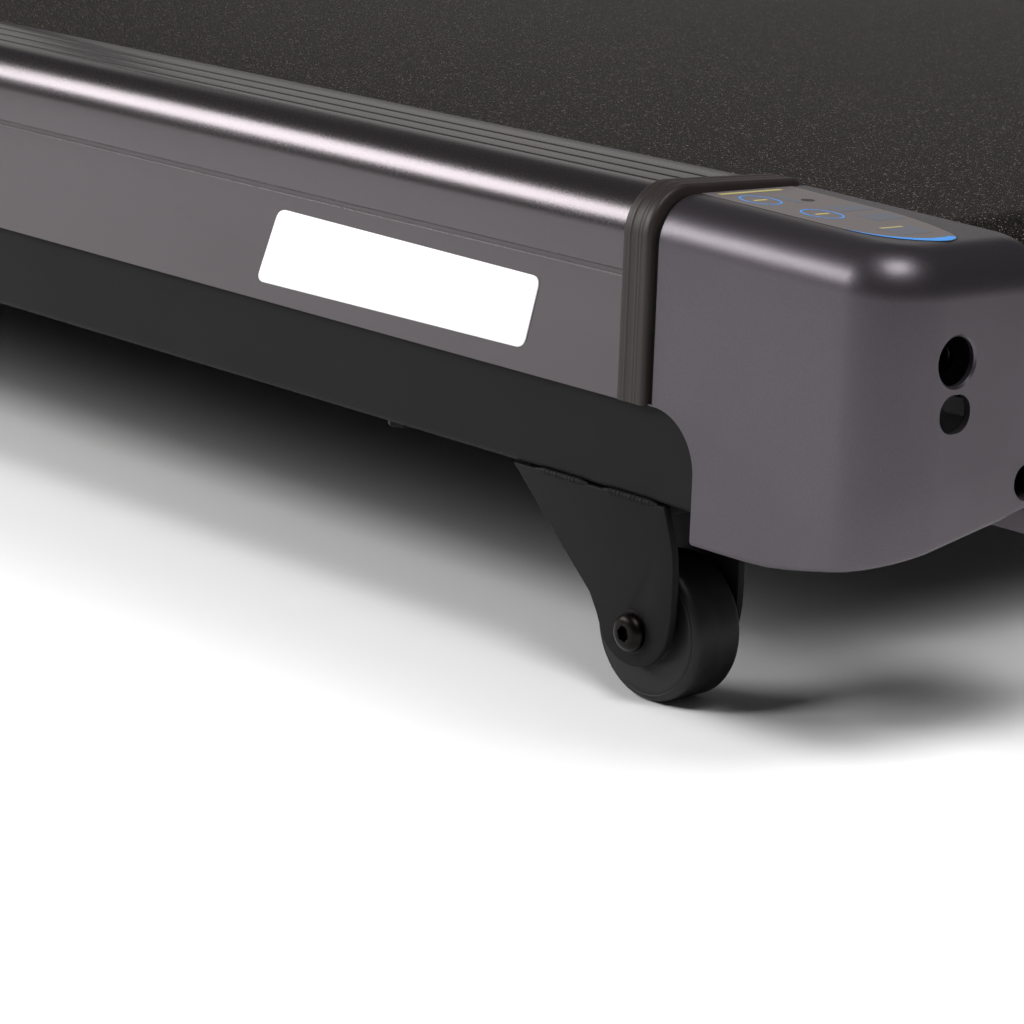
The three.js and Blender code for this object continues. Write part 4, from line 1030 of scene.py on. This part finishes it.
axle = lathe([(0, -390.6), (6.4, -390.6), (6.8, -390.2), (6.8, -388.6), (3.9, -388.4), (3.9, -355.6), (6.2, -355.4), (6.2, -351.2), (0, -351.2)], (0, 905, 29), "X", 32)
pair("transport_axle", axle, "bolt", "base", None, 36)

# ------------------------------------------------------------------ uprights and handrails
for n in ("upright_left", "upright_right"):
    refine(n, "hood", 0.0, 2, 34)
ub = []
for z in (92, 128):
    ub.append(lathe([(0, -391.2), (6.6, -391.2), (7.0, -391.6), (6.6, -391.9), (0, -391.95)], (0, 833, z), "X", 32))
    ub.append(lathe([(0, -353.0), (7.2, -353.0), (7.2, -351.0), (5.6, -348.6), (3.2, -347.4), (0, -347.2)], (0, 833, z), "X", 32))
pair("upright_bolts", merge(*ub), "bolt", "base", None, 36)
# moulded skirt round the foot of each upright, proud in depth and inwards only
sk = []
for k, (z, g) in enumerate(((62.0, 6.0), (70, 6.6), (96, 5.6), (118, 3.2), (126, 1.2))):
    yc = 836 - 94 * (z - 62.3) / 1133.7
    w = 32 - 6 * (z - 62.3) / 1133.7
    sk.append([(a, yc + bq, z) for a, bq in rrect(-391.9, -352 + g, -w - g, w + g, 8, 5)])
skirt = loft(sk)
hole = loft([[(a, 836 - 94 * (z - 62.3) / 1133.7 + bq, z) for a, bq in rrect(-392.6 - 4, -351.8, -(32 - 6 * (z - 62.3) / 1133.7) - 0.2, 32 - 6 * (z - 62.3) / 1133.7 + 0.2, 8, 5)] for z in (55, 135)])
skirt = boolean(skirt, [hole])
pair("upright_skirt", skirt, "plastic", "base", None, 34)


def catmull(P, n=14):
    P = [np.array(p, float) for p in P]
    P = [2 * P[0] - P[1]] + P + [2 * P[-1] - P[-2]]
    out = []
    for i in range(1, len(P) - 2):
        for k in range(n):
            t = k / n
            out.append(tuple(0.5 * ((2 * P[i]) + (-P[i - 1] + P[i + 1]) * t + (2 * P[i - 1] - 5 * P[i] + 4 * P[i + 1] - P[i + 2]) * t * t + (-P[i - 1] + 3 * P[i] - 3 * P[i + 1] + P[i + 2]) * t ** 3)))
    out.append(tuple(P[-2]))
    return out


hpath = catmull([(-372, 728.8, 1003), (-372, 640, 1000), (-372, 520, 985), (-372, 420, 962), (-372, 372, 944)], 44)
NP = len(hpath)


def grip_section(t):
    r = 16.4
    if t > 0.965:
        r *= math.sqrt(max(0.03, 1 - ((t - 0.965) / 0.036) ** 2))
    elif 0.40 < t < 0.955:
        r = 16.55 + 0.4 * math.sin(t * NP * 0.9)
    elif 0.385 < t <= 0.40:
        r = 15.9
    elif t < 0.03:
        r = 16.9
    return circle(r, 32)


pair("handrail_grip", tube(hpath, grip_section, (1, 0, 0)), "grip", "base", ("handrail_left", "handrail_right"), angle=50)

# ------------------------------------------------------------------ console
CT = math.radians(40.0)
CC, CS = math.cos(CT), math.sin(CT)


def con_pt(p):
    x, y, z = p
    return (x, 742 + y * CC - z * CS, 1168 + y * CS + z * CC)


def con(me):
    """moves a mesh built in the console's own axes into the frame"""
    m = Matrix.Translation(Vector((0, 742, 1168)) * MM) @ Matrix.Rotation(CT, 4, "X")
    me.transform(m)
    return me


def cface(w, h0, h1, z, r, n=12):
    return [(x, y, z) for x, y in rrect(-w, w, h0, h1, r, n)]


rings = [cface(300, -95, 95, -34, 30), cface(304, -97.5, 97.5, -33.2, 30.6)]
for t in np.linspace(0, 1, 5)[1:]:
    rings.append(cface(304 + 28 * t, -97.5 - 16 * t, 97.5 + 16 * t, -33.2 + 14 * t, 30.6 + 6 * t))
rings += [cface(335.4, -115.6, 115.6, -14, 38), cface(337.4, -117.4, 117.4, -7, 39.4), cface(338, -118, 118, -1, 40), cface(338, -118, 118, 4, 40), cface(337.7, -117.7, 117.7, 8, 40)]
for k in range(1, 9):
    a = math.pi / 2 * k / 8
    rings.append(cface(337.7 - 9.7 * (1 - math.cos(a)), -117.7 + 9.7 * (1 - math.cos(a)), 117.7 - 9.7 * (1 - math.cos(a)), 8 + 10 * math.sin(a), 40 - 6 * (1 - math.cos(a))))
shell_c = loft(rings)


def zprism(pts, z0, z1):
    return prism(pts, z0, z1, "Z")


KEYS = [("start_button", -70, -70, 17), ("stop_button", 70, -70, 17), ("speed_up_button", 235, 20, 13), ("speed_down_button", 235, -30, 13), ("incline_up_button", -235, 20, 13), ("incline_down_button", -235, -30, 13)]
cut_c = [zprism(rrect(-170, 170, -20, 90, 10, 8), 15, 30), zprism(rrect(-14, 14, -84, -56, 4, 5), 6, 30)]
for _, x, y, r in KEYS:
    cut_c.append(lathe([(0, 11), (r + 0.8, 11), (r + 0.8, 17.0), (r + 2.0, 18.2), (r + 8, 22), (0, 22)], (x, y, 0), "Z", 56))
for sgn in (-1, 1):
    go, gi = zprism(rrect(-55 + sgn * 235, 55 + sgn * 235, -62, 62, 16, 8), 17.35, 20), zprism(rrect(-53.9 + sgn * 235, 53.9 + sgn * 235, -60.9, 60.9, 15, 8), 16, 21)
    cut_c.append(boolean(go, [gi]))
for k in range(7):
    for sgn in (-1, 1):
        cut_c.append(zprism([(sgn * 235 - 24 + 8 * k + p[0], 88 + p[1]) for p in rrect(-1.4, 1.4, -7, 7, 1.3, 4)], 13, 30))
shell_c = boolean(shell_c, cut_c)
cheek = bevel(prism(rrect(-40, 40, -20, 8, 5, 5), -351.4, -330, "X"), 0.8, 2, 50)
shell_c = merge(shell_c, cheek, mirrored(cheek))
finish_mesh("console_shell", con(shell_c), "console", "base", 34, "console_housing")
finish_mesh("console_display_lens", con(bevel(zprism(rrect(-168.6, 168.6, -18.6, 88.6, 9, 8), 14.8, 16.6), 0.5, 3, 50)), "glass", "base", 34)
bez_o, bez_i = zprism(rrect(-169.8, 169.8, -19.8, 89.8, 9.8, 8), 15.0, 18.3), zprism(rrect(-160, 160, -11, 81, 6, 8), 14, 20)
finish_mesh("console_bezel", con(bevel(boolean(bez_o, [bez_i]), 0.6, 3, 50)), "bezel", "base", 34)
# the display: plain segment bars, no lettering
bars = []
for gx in (-118, -40, 38, 116):
    for k in range(3):
        bars.append(zprism(rrect(gx - 17, gx + 17, 8 + 18 * k, 10.6 + 18 * k, 1.2, 3), 16.5, 16.85))
    for sx in (-18.5, 18.5):
        for k in range(2):
            bars.append(zprism(rrect(gx + sx - 1.2, gx + sx + 1.2, 12.5 + 18 * k, 24.5 + 18 * k, 1.1, 3), 16.5, 16.85))
for k in range(16):
    bars.append(zprism(rrect(-134 + 17 * k, -124 + 17 * k, 58, 58 + 3 + 10 * abs(math.sin(0.55 * k)), 1.0, 3), 16.5, 16.85))
finish_mesh("display_segments", con(merge(*bars)), "key_grey", "base", 34)
KC = {"start_button": "key_green", "stop_button": "key_red"}


def icon_shape(kind, x, y):
    if kind == "start_button":
        return [[(x - 4.2, y - 5.6), (x + 6.2, y), (x - 4.2, y + 5.6)]]
    if kind == "stop_button":
        return [rrect(x - 4.8, x + 4.8, y - 4.8, y + 4.8, 0.8, 3)]
    if kind.endswith("up_button"):
        return [[(x - 5.2, y - 3.2), (x + 5.2, y - 3.2), (x, y + 4.8)]]
    return [[(x - 5.2, y + 3.2), (x, y - 4.8), (x + 5.2, y + 3.2)]]


for n, x, y, r in KEYS:
    prof = [(0, 14.2), (r - 0.2, 14.2), (r, 14.4), (r, 19.8), (r - 0.25, 20.6), (r - 0.9, 21.4), (r - 1.9, 21.95), (r * 0.7, 22.2), (r * 0.35, 22.3), (0, 22.32)]
    finish_mesh(f"{n}_fine", con(lathe(prof, (x, y, 0), "Z", 64)), KC.get(n, "key_grey"), n, 34, n)
    ic = merge(*[zprism(s, 22.05, 22.4) for s in icon_shape(n, x, y)])
    finish_mesh(f"{n}_icon", con(ic), "icon", n, 34)
key = merge(bevel(zprism([(p[0], p[1] - 70) for p in rrect(-12.9, 12.9, -12.9, 12.9, 3.4, 6)], 6.5, 24), 1.4, 4, 50), bevel(zprism([(p[0], p[1] - 70) for p in rrect(-9, 9, -3, 3, 2.0, 5)], 22, 38), 1.2, 3, 50))
finish_mesh("safety_key_fine", con(key), "key_red", "safety_key", 34, "safety_key")
# a collar round each handrail's upright end
collar = tube([hpath[0], hpath[4], hpath[9]], circle(17.6, 40), (1, 0, 0))
pair("handrail_collar", bevel(collar, 0.6, 2, 50), "plastic", "base", None, 34)

# ------------------------------------------------------------------ mains inlet and rocker
refine("power_inlet", "plastic", 0.5, 3, 34)
pins = []
for dx, dz in ((-6, -2.5), (6, -2.5), (0, 3.2)):
    pins.append(bevel(prism(rrect(313 + dx - 1.0, 313 + dx + 1.0, 42 + dz - 2.4, 42 + dz + 2.4, 0.4, 3), 940.4, 947, "Y"), 0.3, 2, 50))
finish_mesh("inlet_pins", merge(*pins), "steel", "base", 34)
refine("power_switch", "plastic", 0.5, 3, 34)

# ------------------------------------------------------------------ finish slot names per material, looked up for each added piece but not stored; the CAD nodes still shown get the powder coat
SLOTS = {"rail": "gunmetal_rail", "cap": "gunmetal_cap", "powder": "black_frame", "band": "trim_rubber", "wheel": "wheel_rubber", "bolt": "bolt_black", "wood": "board_wood", "belt": "belt_rubber",
         "steel": "steel", "hood": "hood_plastic", "plastic": "dark_plastic", "console": "console_plastic", "key_grey": "key_grey", "key_green": "key_green", "key_red": "key_red",
         "motor": "motor_steel", "sink": "heatsink", "grip": "grip_foam", "chrome": "chrome_rod"}
names = {M[k].name: s for k, s in SLOTS.items()}
for o in list(bpy.data.objects):
    if o.type == "MESH" and "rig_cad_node" not in o and "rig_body" in o and o.data.materials:
        s = names.get(o.data.materials[0].name)
for n, o in NODES.items():
    if not o.hide_render:
        o.data.materials.clear()
        o.data.materials.append(M["powder"])

# ------------------------------------------------------------------ floor, backdrop, lights
scene = bpy.context.scene
scene.view_settings.view_transform = "Standard"
scene.view_settings.look = "None"


def floor_material():
    k = Mat("studio_floor_paper", (0.93, 0.93, 0.93), 0.62, 0.0, Specular_IOR_Level=0.25)
    c = k.noise(1.6, 3, 0.5)
    k.tint(k.rng(c, 0, 1, 0.4, 0.7), (0.90, 0.90, 0.905), 0.5)
    k.rough(k.noise(40, 3, 0.6), 0.52, 0.75)
    k.bump(k.noise(350, 3, 0.6), 0.05, 0.0004)
    return k.m


bpy.ops.mesh.primitive_plane_add(size=30, location=(0, 0, 0))
floor = bpy.context.object
floor.name = "floor"
floor.data.materials.append(floor_material())


def area(name, loc, target, size, power, color=(1, 1, 1), size_y=None, spread=None):
    d = bpy.data.lights.new(name, "AREA")
    d.energy = power
    d.color = color
    d.shape = "RECTANGLE"
    d.size = size
    d.size_y = size_y or size
    if spread:
        d.spread = math.radians(spread)
    o = bpy.data.objects.new(name, d)
    scene.collection.objects.link(o)
    shift = Vector((-WIDEN * MM, 0, 0))
    o.location = Vector(loc) + shift
    o.rotation_euler = (Vector(target) - Vector(loc)).to_track_quat("-Z", "Y").to_euler()
    return o


# a box at the front left gives the bright strip on the rail's shoulder; one overhead gives the corner its spot;
# the others only light the floor and the matt surfaces, as flagged lamps do
area("strip_box", (-1.62, 1.02, 1.06), (-0.34, -0.75, 0.18), 1.35, 36, (1, 0.99, 0.985), 0.72)
area("overhead_box", (-0.86, -1.60, 2.55), (-0.45, -0.95, 0.0), 1.10, 40, (1, 1, 1), 1.10)
for lamp in (area("shadow_key", (-1.90, -0.22, 1.50), (-0.34, -0.86, 0.0), 0.55, 16, (1, 1, 1), 0.55),
             area("rear_floor_wash", (0.35, -1.65, 1.60), (0.15, -1.45, 0.0), 0.8, 22, (1, 1, 1), 0.8)):
    lamp.visible_glossy = False
far = area("far_bounce", (1.20, 1.00, 0.85), (-0.34, -0.80, 0.20), 1.8, 1.9, (1, 0.965, 0.925), 0.9)
far.visible_camera = False

world = bpy.data.worlds.new("studio")
scene.world = world
world.use_nodes = True
bgn = world.node_tree.nodes["Background"]
bgn.inputs["Color"].default_value = (0.9, 0.92, 0.95, 1)
bgn.inputs["Strength"].default_value = 0.07
